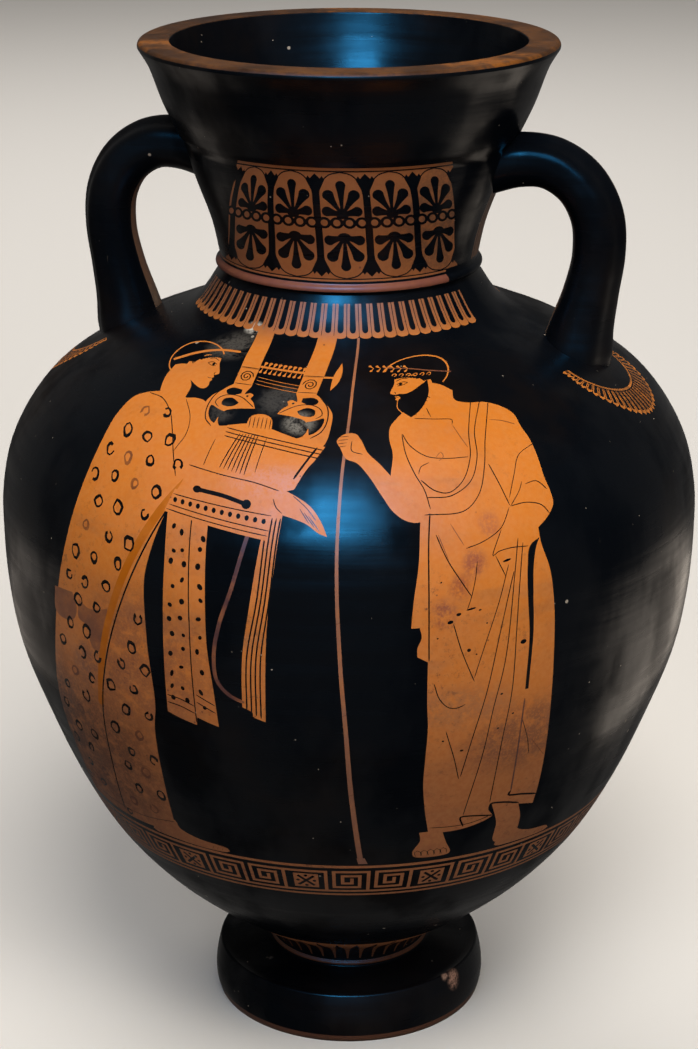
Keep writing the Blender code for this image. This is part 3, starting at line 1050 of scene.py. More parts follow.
# Folds from the shoulder round the waist, and long folds that fan down from the wrapped hand.
CLOAK_LINES = (
    ("line", 0.5, (92, 412), (94, 393), (97, 379), (95, 368), (89, 363), (82, 364.5), (74.5, 370)),
    ("line", 0.5, (97, 412), (97, 393), (100.5, 379), (99, 367.5), (90.5, 361.5), (78.5, 361.5)),
    ("line", 0.5, (102, 409.5), (103.5, 387), (105, 374), (104, 361), (98, 354), (78.5, 353.5)),
    ("line", 0.7, (81, 354), (81.5, 346), (83.5, 316.5), (84, 284)),
    ("dilute", 0.40, (104, 398.5), (111.5, 396.5), (119.5, 393)),
    ("line", 0.45, (131.5, 381), (123, 376.5), (121.4, 367.5), (120, 357)),
    ("line", 0.45, (107, 374.5), (114, 364), (120.5, 353.5)),
    ("line", 0.45, (126, 363.5), (125, 359.5), (121, 353)),
    ("line", 0.42, (128, 362), (134, 362.5), (141, 357.5)),
    ("line", 0.45, (121, 353), (129, 353.5), (138, 351), (143, 346.5)),
    ("line", 0.45, (120.3, 352.5), (117, 344), (109, 339), (100, 336.5)),
    ("line", 0.45, (117, 343), (113.7, 331.5), (116, 333), (122, 334), (132, 333.5)),
    ("dilute", 0.42, (86, 344), (92, 332)),
    ("dilute", 0.42, (91.3, 348.5), (99, 338)),
    ("line", 0.5, (85, 344), (91.5, 332), (98, 322.5), (104, 314)),
    ("line", 0.42, (106, 330), (105.5, 322), (104, 314), (102, 307.5)),
    ("line", 0.5, (95.5, 301.5), (99.5, 288), (106, 271)),
    ("line", 0.45, (115, 331.5), (121, 321)),
    ("line", 0.45, (122, 326.5), (118, 310), (110.5, 287), (106, 273)),
    ("line", 0.5, (125, 323), (119, 295), (112.5, 265), (104.5, 239), (97.6, 216)),
    ("line", 0.5, (126.2, 338), (125.6, 323), (122, 281), (115.5, 254), (110, 230), (97.5, 188.5)),
    ("line", 0.5, (129, 335.5), (127.6, 298), (125.5, 263), (120, 235), (112, 194)),
    ("purple", 0.9, (132.5, 257), (128, 224), (124, 199)),
    ("line", 0.5, (86.4, 272), (89, 263.5), (93.5, 258.5), (98, 258), (101.5, 259.5)),
    ("line", 0.5, (91.7, 245.5), (95, 229), (96.6, 214.5)),
    ("line", 0.42, (131.3, 245), (134, 233), (134.6, 223)),
    ("dilute", 0.42, (136.5, 231.5), (143.5, 219)),
    ("line", 0.5, (80, 182.5), (90, 181.5), (99, 181.5), (107, 183), (113, 185)),
    ("gloss", 1.0, (97, 180), (96, 187), (100, 187), (113.5, 184)),
    ("gloss", 1.2, (114, 183), (112.5, 192.5), (119, 192), (128.5, 188.5)),
    ("gloss", 1.3, (124, 199), (122.6, 196.5), (130, 194.5), (139, 191.5)),
)


def cloak_lines(drawing):
    """The cloak's folds, and the small chips in it."""
    drawing.strokes(CLOAK_LINES)
    for (x, y), width, height in SPALLS:
        drawing.dot("gloss", (x, y), width, height, turn=10, corners=8)


# ---------------------------------------------------------------- side B


def draped_youth(drawing):
    """A plain standing figure wrapped in a cloak, facing right, one arm out with a staff."""
    side_foot(drawing, -12, 24)
    side_foot(drawing, -34, 0)
    drawing.fill("clay", (
        (-8, 415), (-22, 409), (-32, 398), (-37, 380), (-38, 350), (-37, 310), (-41, 262), (-42, 220),
        (-38, 178), (-38, 178), (-16, 174), (6, 175), (26, 181), (26, 181), (27, 220), (26, 270),
        (24, 310), (27, 340), (30, 366), (28, 386), (20, 402), (9, 411), (7, 423), (7, 423), (-9, 423),
        (-9, 423),
    ))
    head = drawing.within((-1.5, 413.5), scale=0.34)
    calm_head(head, ((-4, 62), 46, 41, 4))
    wreath(head)
    drawing.fill("clay", (
        (22, 376), (36, 366), (48, 366), (58, 372), (64, 378), (60, 383), (54, 379), (46, 374.5),
        (36, 378), (26, 388), (26, 388),
    ))
    for index in range(3):
        knuckle = (56.5 + 1.7 * index, 373.5 + 1.6 * index)
        drawing.line("line", (knuckle, (60 + 1.6 * index, 371 + 1.8 * index)), 0.4)
    for offset in (0, 6, 13):
        drawing.line("line", (
            (12 - offset, 411 - 0.6 * offset), (2 - 1.3 * offset, 392), (-3 - 1.2 * offset, 368 - offset),
            (6 - 0.6 * offset, 350 - 1.6 * offset), (26, 342 - 2.2 * offset),
        ), 0.48)
    for index in range(5):
        top, low = -30 + 11.5 * index, -32 + 13 * index
        drawing.line("line", ((top, 316 - 4 * index), (top - 1, 260), (low, 215), (low + 1, 180)), 0.48)
    drawing.line("line", ((-38, 183), (-16, 179), (6, 180), (26, 186)), 0.45)
    stick = drawing.within((63, 0))
    for low in range(160, 440, 14):
        stick.polygon("clay", rectangle(-0.9, low, 0.9, low + 14))


def figures(picture):
    """The two figures of side A and the one of side B."""
    front = Drawing(picture, FIGURE_TURN)
    musician(front)
    kithara(front)
    playing_arm(front)
    staff(front)
    bearded_man(front)
    draped_youth(Drawing(picture, 180.0))


# ---------------------------------------------------------------- the painted wall as mesh

COLUMN = 2.0
ANGLE_STRETCH = 3.0
AXIS_RADIUS = 0.01    # points nearer the axis than this are one vertex
CUT_TOLERANCE = 1e-5
SECTORS = (
    ("vessel_front_left", -66.0, 0.0),
    ("vessel_front_right", 0.0, 66.0),
    ("vessel_right", 66.0, 114.0),
    ("vessel_back_left", 114.0, 180.0),
    ("vessel_back_right", 180.0, 246.0),
    ("vessel_left", 246.0, 294.0),
)
# Where each stretch of run lies on a piece's bake map: run from, run to, then left, right, low, high.
BAKE_ISLANDS = (
    (118.0, 486.0, 0.004, 0.636, 0.004, 0.996),
    (486.0, 632.0, 0.644, 0.996, 0.556, 0.996),
    (0.0, 118.0, 0.644, 0.996, 0.276, 0.548),
    (-60.0, 0.0, 0.644, 0.996, 0.164, 0.268),
    (632.0, 1242.2, 0.644, 0.996, 0.056, 0.156),
    (-130.0, -60.0, 0.644, 0.996, 0.004, 0.048),
)


def grid_of_rows(first, last):
    """The wall's rows over a sector, unrolled, as points and the edges that the faces must keep."""
    columns = round((last - first) / COLUMN)
    angles = [first + (last - first) * column / columns for column in range(columns + 1)]
    points = [Vector((angle * ANGLE_STRETCH, run)) for run in WALL.runs for angle in angles]
    width = columns + 1
    edges = []
    for row in range(len(WALL.runs)):
        edges += [(row * width + column, row * width + column + 1) for column in range(columns)]
    for row in range(len(WALL.runs) - 1):
        edges += [(row * width + end, (row + 1) * width + end) for end in (0, columns)]
    return points, edges


def turning_left(points):
    """The outline in the order that keeps its inside on the left."""
    area = sum(a.x * b.y - b.x * a.y for a, b in zip(points, points[1:] + points[:1]))
    return points if area > 0 else points[::-1]


def shapes_over(picture, first, last):
    """The shapes that reach into a sector, turned by whole turns where they must be."""
    for paint, outline in picture.shapes:
        low, high = min(p[0] for p in outline), max(p[0] for p in outline)
        for shift in (-360.0, 0.0, 360.0):
            if low + shift < last and high + shift > first:
                yield paint, [(angle + shift, run) for angle, run in outline]


def painted_triangles(picture, first, last):
    """Unrolled points, and (corner indices, paint) for each triangle of a sector."""
    points, edges = grid_of_rows(first, last)
    faces, paints = [], []
    for paint, outline in shapes_over(picture, first, last):
        corners = turning_left([Vector((angle * ANGLE_STRETCH, run)) for angle, run in outline])
        faces.append(list(range(len(points), len(points) + len(corners))))
        points += corners
        paints.append(paint)
    cut = delaunay_2d_cdt(points, edges, faces, 0, CUT_TOLERANCE, True)
    left, right = first * ANGLE_STRETCH, last * ANGLE_STRETCH
    triangles = []
    for corners, covers in zip(cut[2], cut[5]):
        middle = sum(cut[0][corner].x for corner in corners) / 3
        if covers and left < middle < right:
            triangles.append((corners, paints[max(covers)]))
    return cut[0], triangles


def on_bake_map(angle, run, middle, first, last):
    """The place of a wall point on its piece's bake map; middle is the run at its face's middle."""
    for low, high, u0, u1, v0, v1 in BAKE_ISLANDS:
        if low <= middle <= high:
            across = (angle - first) / (last - first)
            up = (run - low) / (high - low)
            return (u0 + (u1 - u0) * across, v0 + (v1 - v0) * min(max(up, 0.0), 1.0))
    return (0.0, 0.0)


def wall_sector(name, picture, first, last, materials):
    """One upright slice of the vessel, outside and inside, painted."""
    flat, triangles = painted_triangles(picture, first, last)
    places, normals, index_of, merged = [], [], {}, []
    for point in flat:
        radius, height, normal = WALL.at(point.y)
        turn = math.radians(point.x / ANGLE_STRETCH)
        key = ("axis", round(height, 2)) if radius < AXIS_RADIUS else len(merged)
        if key not in index_of:
            index_of[key] = len(places)
            places.append((radius * math.sin(turn) * MM, -radius * math.cos(turn) * MM, height * MM))
            normals.append((normal.x * math.sin(turn), -normal.x * math.cos(turn), normal.y))
        merged.append(index_of[key])
    faces, paints, map_places = [], [], []
    for corners, paint in triangles:
        face = [merged[corner] for corner in corners]
        if len(set(face)) < 3:
            continue
        middle = sum(flat[corner].y for corner in corners) / 3
        faces.append(face)
        paints.append(paint)
        for corner in corners:
            map_places += on_bake_map(flat[corner].x / ANGLE_STRETCH, flat[corner].y, middle, first, last)
    mesh = painted_mesh(name, places, faces, paints, map_places, materials)
    mesh.normals_split_custom_set_from_vertices(normals)
    mesh.update()
    return add_object(name, mesh)


def painted_mesh(name, places, faces, paints, map_places, materials):
    """A smooth mesh with each face in its paint's material, and its corners' places on the bake map."""
    slots = sorted(set(paints))
    mesh = bpy.data.meshes.new(name)
    mesh.from_pydata(places, [], faces)
    for paint in slots:
        mesh.materials.append(materials[paint])
    mesh.polygons.foreach_set("material_index", [slots.index(paint) for paint in paints])
    mesh.polygons.foreach_set("use_smooth", [True] * len(faces))
    mesh.uv_layers.new(name="OFBake").uv.foreach_set("vector", map_places)
    mesh.update()
    return mesh


def add_object(name, mesh):
    piece = bpy.data.objects.new(name, mesh)
    bpy.context.scene.collection.objects.link(piece)
    return piece


# ---------------------------------------------------------------- handles

HANDLE_LINE = (
    (66.0, 460.0), (87.0, 465.2), (102.5, 464.2), (116.5, 455.2), (124.8, 440.0), (126.3, 422.0),
    (123.0, 402.0), (118.0, 380.0), (113.0, 348.0),
)
HANDLE_WIDTH = 29.0
HANDLE_DEPTH = 26.5
HANDLE_REED = 0.9
INNER_FLATNESS = 0.92
NECK_SPREAD = 1.10
NECK_SHARE = 0.22
ROOT_SPREAD = 1.35
ROOT_START = 0.64
ROOT_END = 0.90
HANDLE_SIDES = 72
HANDLE_STEP = 2.5
INNER_STRIP = 4.6
STRIP_SPAN = (0.10, 0.90)


def section_growth(share):
    """Size of the roll along the handle: it spreads where it is luted to the neck and shoulder."""
    at_neck = (NECK_SPREAD - 1) * max(0.0, 1 - share / NECK_SHARE) ** 1.5
    near_root = min(max((share - ROOT_START) / (ROOT_END - ROOT_START), 0.0), 1.0)
    return 1 + at_neck + (ROOT_SPREAD - 1) * near_root ** 2.2


def knot_shares(line):
    """Each point's share of the handle, counted by knots as the handle's spread is."""
    dense = []
    for index in range(len(HANDLE_LINE) - 1):
        start, end = Vector(HANDLE_LINE[index]), Vector(HANDLE_LINE[index + 1])
        pieces = max(1, round((end - start).length / HANDLE_STEP))
        dense += [(index + part / pieces) / (len(HANDLE_LINE) - 1) for part in range(pieces)]
    return (dense + [1.0])[:len(line)]


def roll_outline():
    """Closed outline of the roll: rounder outside with three soft reeds, flatter inside."""
    outline = []
    for index in range(HANDLE_SIDES):
        angle = 2 * math.pi * index / HANDLE_SIDES
        outward = math.cos(angle)
        reed = HANDLE_REED * math.cos(6 * angle) * max(outward, 0.0)
        depth = (HANDLE_DEPTH / 2 + reed) * outward * (1.0 if outward > 0 else INNER_FLATNESS)
        width = (HANDLE_WIDTH / 2) * (1 + 2 * reed / HANDLE_DEPTH) * math.sin(angle)
        outline.append((depth, width))
    return outline


def handle(name, side, materials):
    """The roll along its line, with the reserved strip on the inner side, bordered by the black gloss."""
    line = smooth_curve(HANDLE_LINE, HANDLE_STEP)
    shares = knot_shares(line)
    outline = roll_outline()
    places = []
    for index, (point, share) in enumerate(zip(line, shares)):
        along = (line[min(index + 1, len(line) - 1)] - line[max(index - 1, 0)]).normalized()
        outward = Vector((-along.y, along.x))
        growth = section_growth(share)
        for depth, width in outline:
            spot = point + outward * depth * growth
            places.append((side * spot.x * MM, side * width * growth * MM, spot.y * MM))
    faces, paints, map_places = [], [], []
    sides = len(outline)
    for ring in range(len(line) - 1):
        for edge in range(sides):
            after = (edge + 1) % sides
            corners = ((ring, edge), (ring + 1, edge), (ring + 1, after), (ring, after))
            faces.append([r * sides + e for r, e in corners])
            paints.append(inner_paint(outline, edge, shares[ring]))
            for r, e in corners:
                u = (edge + (0 if e == edge else 1)) / sides
                map_places += fold_on_map(u, r / (len(line) - 1), (ring + 0.5) / (len(line) - 1))
    return add_object(name, painted_mesh(name, places, faces, paints, map_places, materials))


def fold_on_map(around, along, middle):
    """A handle laid on its bake map in three columns side by side."""
    column = min(int(middle * 3), 2)
    return ((column + 0.02 + 0.96 * around) / 3, 0.01 + 0.98 * (along * 3 - column))


def inner_paint(outline, edge, share):
    """The paint of one strip of the roll."""
    depth, width = outline[edge]
    if depth > 0 or not STRIP_SPAN[0] < share < STRIP_SPAN[1]:
        return "gloss"
    return "strip" if abs(width) < INNER_STRIP else "gloss"


# ---------------------------------------------------------------- materials


class Shader:
    """A material under construction, with short ways to add its nodes."""

    def __init__(self, name):
        self.material = bpy.data.materials.new(name)
        self.material.use_nodes = True
        self.tree = self.material.node_tree
        self.surface = self.tree.nodes["Principled BSDF"]
        self.place = self.add("ShaderNodeTexCoord", {})["Object"]

    def add(self, kind, inputs, **settings):
        """Adds a node with these settings and inputs, and gives its outputs."""
        node = self.tree.nodes.new(kind)
        for key, value in settings.items():
            setattr(node, key, value)
        self.feed(node, inputs)
        return node.outputs

    def feed(self, node, inputs):
        """Links a node's inputs to other nodes' outputs, or sets them to plain values."""
        for key, value in inputs.items():
            if isinstance(value, bpy.types.NodeSocket):
                self.tree.links.new(value, node.inputs[key])
            else:
                node.inputs[key].default_value = value

    def stretched(self, scale):
        """Object coordinates scaled apart along x, y and z."""
        return self.add("ShaderNodeMapping", {"Vector": self.place, "Scale": scale})["Vector"]

    def noise(self, scale, detail, stretch=None, rough=0.5):
        """Cloudy noise from 0 to 1; a stretch above 1 makes it finer along that axis."""
        place = self.stretched(stretch) if stretch else self.place
        inputs = {"Vector": place, "Scale": scale, "Detail": detail, "Roughness": rough}
        return self.add("ShaderNodeTexNoise", inputs)["Fac"]

    def specks(self, scale, size, keep):
        """Small round spots in some of the cells of a regular scatter: 1 inside, 0 outside."""
        cells = self.add("ShaderNodeTexVoronoi", {"Vector": self.place, "Scale": scale})
        near = self.between(cells["Distance"], size, size * 0.6)
        draw = self.add("ShaderNodeSeparateColor", {"Color": cells["Color"]})["Red"]
        return self.times(near, self.between(draw, 1 - keep, 1 - keep + 0.01))

    def maths(self, operation, a, b):
        return self.add("ShaderNodeMath", {0: a, 1: b}, operation=operation)[0]

    def times(self, value, *others):
        """All the values multiplied together."""
        for other in others:
            value = self.maths("MULTIPLY", value, other)
        return value

    def between(self, value, low, high, start=0.0, end=1.0):
        """The value's place from low to high, held to the range start to end."""
        inputs = {"Value": value, "From Min": low, "From Max": high, "To Min": start, "To Max": end}
        return self.add("ShaderNodeMapRange", inputs, interpolation_type="SMOOTHSTEP")["Result"]

    def spot(self, centre, reach, stretch):
        """1 at a place on the vessel in millimetres, fading to 0 at the reach."""
        scale = [1 / (reach * MM * s) for s in stretch]
        middle = [c * MM * s for c, s in zip(centre, scale)]
        inputs = {0: self.stretched(scale), 1: middle}
        away = self.add("ShaderNodeVectorMath", inputs, operation="DISTANCE")["Value"]
        return self.between(away, 1.0, 0.35)

    def height(self, low, high):
        """0 below one height in millimetres and 1 above the other."""
        return self.between(self.add("ShaderNodeSeparateXYZ", {0: self.place})["Z"], low * MM, high * MM)

    def blend(self, share, first, second):
        """A colour between two, by share."""
        ends = [c if isinstance(c, bpy.types.NodeSocket) else (*c, 1.0) for c in (first, second)]
        inputs = {"Factor": share, "A": ends[0], "B": ends[1]}
        return self.add("ShaderNodeMix", inputs, data_type="RGBA")["Result"]

    def relief(self, height, distance, strength):
        """Bump, the distance in millimetres."""
        inputs = {"Height": height, "Distance": distance * MM, "Strength": strength}
        self.feed(self.surface, {"Normal": self.add("ShaderNodeBump", inputs)["Normal"]})

    def finish(self, colour, roughness, index):
        """The material, with its colour, roughness and refractive index."""
        self.feed(self.surface, {"Base Color": colour, "Roughness": roughness, "IOR": index})
        return self.material


# Marks on the wall: (angle, run) of the middle, reach in mm, stretch along x, y and z, colour, strength. Most
# are stains and wear; the rows marked below are painted shade or painted light.
STAINS_AND_PAINTED_LIGHT = (
    # Painted shade with some real discolouring: the robe darkens towards its lower left, away from the light.
    ((-40.0, 205.0), 90.0, (1.0, 1.0, 0.80), (0.13, 0.048, 0.020), 0.85),
    ((-54.0, 225.0), 60.0, (1.0, 1.0, 1.2), (0.09, 0.032, 0.012), 0.97),
    ((-31.0, 262.0), 13.0, (1.0, 1.0, 1.2), (0.17, 0.075, 0.050), 0.60),
    ((-19.0, 272.0), 54.0, (1.0, 1.0, 1.0), (0.22, 0.080, 0.036), 0.66),
    ((33.5, 329.0), 8.0, (1.0, 1.0, 1.2), (0.26, 0.072, 0.036), 0.75),
    ((31.0, 319.0), 7.0, (1.0, 1.0, 1.2), (0.26, 0.072, 0.036), 0.75),
    ((28.5, 307.0), 8.0, (1.0, 1.0, 1.2), (0.22, 0.066, 0.042), 0.80),
    ((36.5, 346.0), 9.0, (0.8, 0.8, 1.0), (0.34, 0.105, 0.055), 0.60),
    ((31.0, 258.0), 26.0, (1.5, 1.5, 0.6), (0.26, 0.120, 0.060), 0.50),
    ((44.0, 235.0), 40.0, (1.2, 1.2, 0.7), (0.17, 0.070, 0.038), 0.72),
    ((37.0, 398.0), 24.0, (1.0, 1.0, 0.9), (0.64, 0.185, 0.006), 0.60),
    # Painted light: a pale pinkish sheen on the playing forearm.
    ((1.0, 369.0), 17.0, (1.6, 1.0, 0.6), (0.60, 0.250, 0.150), 0.60),
    ((57.0, 525.0), 46.0, (1.0, 1.0, 1.0), (0.09, 0.045, 0.024), 0.75),
    # Painted shade: the clay round each handle's root, under the handle, is darkened.
    ((88.0, 400.0), 50.0, (1.0, 1.0, 1.0), (0.12, 0.054, 0.018), 0.80),
    ((-88.0, 400.0), 44.0, (1.0, 1.0, 1.0), (0.11, 0.045, 0.020), 0.85),
)
ABRASIONS = (
    ((-24.0, 450.0), 15.0, (1.2, 1.0, 0.7), (0.110, 0.104, 0.095), 0.60),
    ((-22.0, 464.5), 5.0, (1.4, 1.0, 0.8), (0.60, 0.580, 0.540), 0.95),
    ((4.5, 402.0), 10.0, (1.0, 1.0, 0.8), (0.240, 0.230, 0.210), 0.75),
    ((-12.5, 404.0), 9.0, (1.0, 1.0, 0.8), (0.055, 0.052, 0.050), 0.75),
    ((-1.0, 416.0), 14.0, (1.0, 1.0, 0.8), (0.070, 0.068, 0.066), 0.70),
    ((66.0, -35.0), 6.0, (1.0, 1.0, 1.2), (0.420, 0.240, 0.180), 0.95),
    ((61.0, -31.0), 3.0, (1.0, 1.0, 1.0), (0.420, 0.260, 0.200), 0.85),
    ((-40.0, -12.0), 2.5, (1.0, 1.0, 1.0), (0.300, 0.270, 0.240), 0.80),
)


def wall_place(angle, run):
    """The place of a wall point in millimetres."""
    radius, height, _ = WALL.at(run)
    turn = math.radians(angle)
    return (radius * math.sin(turn), -radius * math.cos(turn), height)


def marked(shader, colour, marks):
    """The colour with the marks laid on it, broken up into patches and fine specks."""
    patches = shader.between(shader.noise(120, 5, rough=0.75), 0.36, 0.54)
    ragged = shader.times(patches, shader.between(shader.noise(900, 2), 0.30, 0.55, 0.35, 1.0))
    for middle, reach, stretch, tint, strength in marks:
        spot = shader.spot(wall_place(*middle), reach, stretch)
        colour = shader.blend(shader.times(spot, ragged, strength), colour, tint)
    return colour


def fired_clay(shader, bright_and_lit, dull_and_shaded):
    """Reserved clay, mottled and streaked: brightest on the shoulder and browner below and on the neck,
    partly the clay's own tone and partly painted shade of light falling from above. Painted shade also
    darkens everything from the tongue band up, and the foot with the rays above it.
    """
    mottle = shader.between(shader.noise(24, 5, rough=0.6), 0.22, 0.58, 0.66, 1.0)
    # Share of the bright colour: full on the shoulder, falling to the dull one lower down and over the tongue
    # band, partly back on the neck; partly the clay's own tone, partly painted shade.
    share = shader.times(shader.height(120, 345), shader.height(404, 386), mottle)
    share = shader.maths("ADD", share, shader.times(shader.height(398, 418), 0.42))
    colour = shader.blend(share, dull_and_shaded, bright_and_lit)
    worn = shader.between(shader.noise(8, 5, stretch=(1.6, 1.6, 7.0), rough=0.6), 0.52, 0.74, 0.0, 0.42)
    colour = shader.blend(worn, colour, (0.23, 0.095, 0.045))
    fine = shader.between(shader.noise(420, 2), 0.3, 0.7, 0.0, 0.14)
    colour = shader.blend(fine, colour, (0.66, 0.33, 0.12))
    grime = shader.between(shader.noise(330, 5, rough=0.8), 0.53, 0.66)
    where = shader.between(shader.noise(30, 4, rough=0.6), 0.42, 0.62, 0.10, 0.60)
    grime = shader.times(grime, where, shader.height(400, 250))
    colour = shader.blend(grime, colour, (0.075, 0.034, 0.020))
    # Painted shade: everything from the tongue band up, which faces the light above, is darkened.
    colour = shader.blend(shader.times(shader.height(385, 395), 0.55), colour, (0.155, 0.060, 0.026))
    # Painted shade over the rays and the foot, from 60 mm down; on the resting ring it also stands for wear.
    return shader.blend(shader.times(shader.height(60, 35), 0.85), colour, (0.042, 0.017, 0.010))


def clay_material(name, bright_and_lit, dull_and_shaded, wash=None, wash_share=0.0, gleam=1.36):
    """Reserved clay, bare or under a thin wash; gleam is its refractive index."""
    shader = Shader(name)
    colour = marked(shader, fired_clay(shader, bright_and_lit, dull_and_shaded), STAINS_AND_PAINTED_LIGHT)
    if wash:
        amount = shader.between(shader.noise(90, 4, rough=0.6), 0.28, 0.62, wash_share * 0.62, wash_share)
        colour = shader.blend(amount, colour, wash)
    pits = shader.specks(230, 0.16, 0.03)
    colour = shader.blend(shader.times(pits, 0.7), colour, (0.09, 0.035, 0.02))
    shader.relief(shader.noise(300, 4), 0.25, 0.5)
    return shader.finish(colour, shader.between(shader.noise(70, 3), 0.2, 0.8, 0.40, 0.58), gleam)


def gloss_material(name, black, brown):
    """Thin black slip: soft brushed sheen, turned marks, a brown breath where it lies thin, tiny chips."""
    shader = Shader(name)
    turned = shader.noise(6, 4, stretch=(1.0, 1.0, 24.0))
    cloud = shader.noise(9, 5, rough=0.62)
    thin = shader.between(cloud, 0.46, 0.74, 0.0, 0.8)
    colour = marked(shader, shader.blend(thin, black, brown), ABRASIONS)
    scratches = shader.noise(60, 4, stretch=(5.0, 5.0, 0.7), rough=0.8)
    colour = shader.blend(shader.between(scratches, 0.715, 0.76, 0.0, 0.35), colour, (0.10, 0.085, 0.07))
    chips = shader.maths("ADD", shader.specks(140, 0.15, 0.030), shader.specks(420, 0.20, 0.012))
    colour = shader.blend(shader.maths("MINIMUM", chips, 0.8), colour, (0.42, 0.37, 0.31))
    cloudy, lined = shader.between(cloud, 0.3, 0.8, 0.0, 0.18), shader.between(turned, 0.3, 0.7, 0.16, 0.27)
    rough = shader.maths("ADD", shader.maths("ADD", cloudy, lined), shader.times(chips, 0.3))
    fine = shader.times(shader.noise(110, 4), 0.3)
    shader.relief(shader.maths("ADD", shader.times(turned, 0.7), fine), 0.30, 0.7)
    uneven = shader.noise(19, 4, stretch=(1.0, 1.0, 0.55), rough=0.55)
    shader.feed(shader.surface, {"Specular IOR Level": shader.between(uneven, 0.40, 0.60, 0.14, 0.85)})
    return shader.finish(colour, rough, 1.22)


def lip_material():
    """The flat of the mouth: dark slip worn to brown, with orange streaks where the clay shows."""
    shader = Shader("worn_lip")
    patches = shader.between(shader.noise(15, 6, rough=0.68), 0.40, 0.62)
    colour = shader.blend(patches, (0.030, 0.014, 0.007), (0.110, 0.045, 0.013))
    streaks = shader.between(shader.noise(11, 5, rough=0.75), 0.56, 0.68, 0.0, 0.75)
    colour = shader.blend(streaks, colour, (0.28, 0.095, 0.012))
    flecks = shader.between(shader.noise(190, 4, rough=0.7), 0.48, 0.64, 0.0, 0.7)
    colour = shader.blend(flecks, colour, (0.050, 0.026, 0.016))
    shader.relief(shader.noise(150, 5), 0.5, 0.6)
    return shader.finish(colour, shader.between(patches, 0.0, 1.0, 0.40, 0.60), 1.25)


# Reserved clay, bright on the shoulder and dull below: partly its own tone, partly painted light and shade.
CLAY_LIT_AND_SHADED = (0.630, 0.192, 0.018), (0.330, 0.118, 0.046)
SHADED_CLAY = (0.105, 0.072, 0.050)
BARE_CLAY = (0.36, 0.155, 0.072)
# Paints that are reserved clay under a thin wash: name, colour and greatest share of the wash.
WASHES = {
    "dilute": ("dilute_line", (0.105, 0.030, 0.010), 0.85),
    "patch": ("worn_patch", (0.130, 0.050, 0.030), 0.80),
    "purple": ("added_purple", (0.060, 0.026, 0.030), 0.95),
    "ring": ("worn_moulding", (0.150, 0.048, 0.034), 0.85),
    "staff": ("thin_slip", (0.22, 0.105, 0.072), 0.80),
}


def all_materials():
    """The material of every paint."""
    materials = {
        "gloss": gloss_material("black_gloss", (0.0020, 0.0030, 0.0050), (0.0085, 0.0056, 0.0042)),
        "line": gloss_material("relief_line", (0.0060, 0.0048, 0.0045), (0.020, 0.010, 0.006)),
        "clay": clay_material("reserved_clay", *CLAY_LIT_AND_SHADED),
        "wash": clay_material("dilute_wash", *CLAY_LIT_AND_SHADED, (0.42, 0.115, 0.001), 0.97, gleam=1.2),
        "lip": lip_material(),
        "strip": clay_material("shaded_clay", SHADED_CLAY, SHADED_CLAY),
        "underside": clay_material("bare_clay", BARE_CLAY, BARE_CLAY),
    }
    for paint, (name, colour, share) in WASHES.items():
        materials[paint] = clay_material(name, *CLAY_LIT_AND_SHADED, colour, share)
    return materials


# ---------------------------------------------------------------- stage

CAMERA_TURN = 14.5
CAMERA_DISTANCE = 1229.8
CAMERA_HEIGHT = 711.8
CAMERA_PITCH = 19.85
CAMERA_LENS = 85.35
FLOOR_RADIUS = 9.0
SHELF_DISTANCE = 0.60


def around(turn, distance, height):
    """A place in metres: a turn in degrees from the front (-Y) towards +X, then a distance and a height."""
    angle = math.radians(turn)
    return Vector((distance * math.sin(angle), -distance * math.cos(angle), height))


def make_camera():
    """The view from a little right of the front, looking down on the shoulder."""
    data = bpy.data.cameras.new("camera")
    data.sensor_width = 36.0
    data.lens = CAMERA_LENS
    data.clip_end = 50.0
    camera = bpy.data.objects.new("camera", data)
    camera.location = around(CAMERA_TURN, CAMERA_DISTANCE * MM, CAMERA_HEIGHT * MM)
    camera.rotation_euler = (math.radians(90 - CAMERA_PITCH), 0.0, math.radians(CAMERA_TURN))
    bpy.context.scene.collection.objects.link(camera)
    bpy.context.scene.camera = camera


def lamp(name, kind, place, aim, power, colour):
    """A lamp turned towards a point."""
    data = bpy.data.lights.new(name, kind)
    data.energy = power
    data.color = colour
    light = bpy.data.objects.new(name, data)
    light.location = place
    light.rotation_euler = (Vector(aim) - place).to_track_quat("-Z", "Y").to_euler()
    bpy.context.scene.collection.objects.link(light)
    return light


def area_light(name, place, aim, size, power, colour):
    """A rectangular lamp turned towards a point."""
    light = lamp(name, "AREA", place, aim, power, colour)
    light.data.shape = "RECTANGLE"
    light.data.size, light.data.size_y = size
    return light


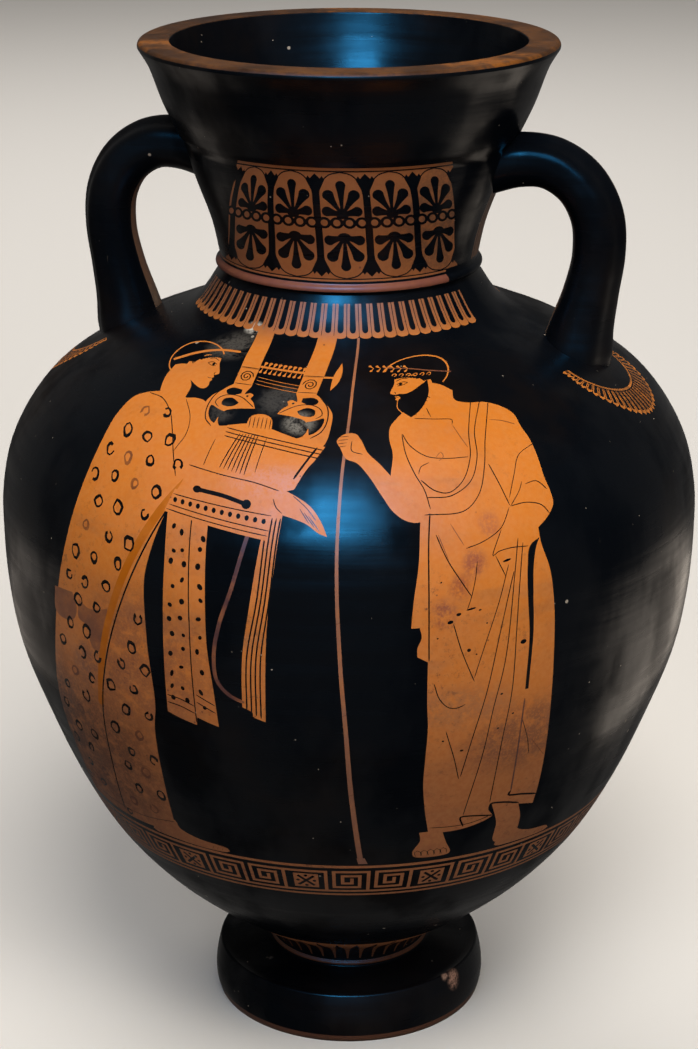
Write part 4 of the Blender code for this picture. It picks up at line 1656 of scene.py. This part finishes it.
def make_lights():
    """A dim room, a warm soft key from high on the right, and a cool window that the gloss picks up."""
    world = bpy.data.worlds.new("studio")
    world.use_nodes = True
    room = world.node_tree.nodes["Background"]
    room.inputs["Color"].default_value = (1.0, 0.95, 0.90, 1.0)
    room.inputs["Strength"].default_value = 0.10
    bpy.context.scene.world = world
    bpy.context.scene.view_settings.view_transform = "Standard"
    middle = (0.0, 0.0, 0.28)
    key = area_light("key", around(26, 2.4, 4.0), middle, (2.2, 2.2), 200, (1.0, 0.93, 0.84))
    fill = lamp("fill", "SUN", around(24, 3.0, 1.0), middle, 0.72, (1.0, 0.93, 0.86))
    fill.data.angle = math.radians(30)
    back = area_light("back", around(200, 2.4, 2.6), middle, (2.0, 2.0), 50, (1.0, 0.95, 0.90))
    for light in (key, fill, back):
        light.visible_glossy = False
    window = area_light("window", around(5, 2.6, 2.45), middle, (1.3, 1.6), 290, (0.05, 0.46, 1.0))
    window.visible_diffuse = window.visible_camera = False
    for name, turn, power, colour in (
        ("right_shelf", 127, 0.9, (1.0, 0.86, 0.72)),
        ("left_shelf", -98, 0.35, (1.0, 0.86, 0.74)),
    ):
        place, aim = around(turn, SHELF_DISTANCE, 0.02), around(turn, SHELF_DISTANCE, 1.0)
        shelf = area_light(name, place, aim, (0.42, 0.6), power, colour)
        shelf.visible_diffuse = shelf.visible_camera = False


def make_floor():
    """A wide pale disc to stand on, which throws no light back."""
    mesh = bpy.data.meshes.new("floor")
    corners = [around(turn, FLOOR_RADIUS, 0.0) for turn in range(0, 360, 6)]
    mesh.from_pydata(corners, [], [tuple(range(len(corners)))])
    floor = add_object("floor", mesh)
    material = bpy.data.materials.new("floor")
    material.use_nodes = True
    shader = material.node_tree.nodes["Principled BSDF"]
    shader.inputs["Base Color"].default_value = (0.74, 0.73, 0.71, 1.0)
    shader.inputs["Roughness"].default_value = 0.9
    mesh.materials.append(material)
    floor.visible_glossy = False
    floor.visible_diffuse = False


# ---------------------------------------------------------------- the vessel

SEED = 7


def paint_picture():
    """The whole painting, from the ground up to the figures."""
    picture = Picture()
    ground_paint(picture)
    ornament(picture)
    figures(picture)
    return picture


def main():
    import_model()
    random.seed(SEED)
    materials = all_materials()
    picture = paint_picture()
    pieces = [wall_sector(name, picture, first, last, materials) for name, first, last in SECTORS]
    pieces.append(handle("handle_right", 1, materials))
    pieces.append(handle("handle_left", -1, materials))
    for piece in pieces:
        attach(piece, "root")
        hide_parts("amphora")
    make_floor()
    make_camera()
    make_lights()


main()
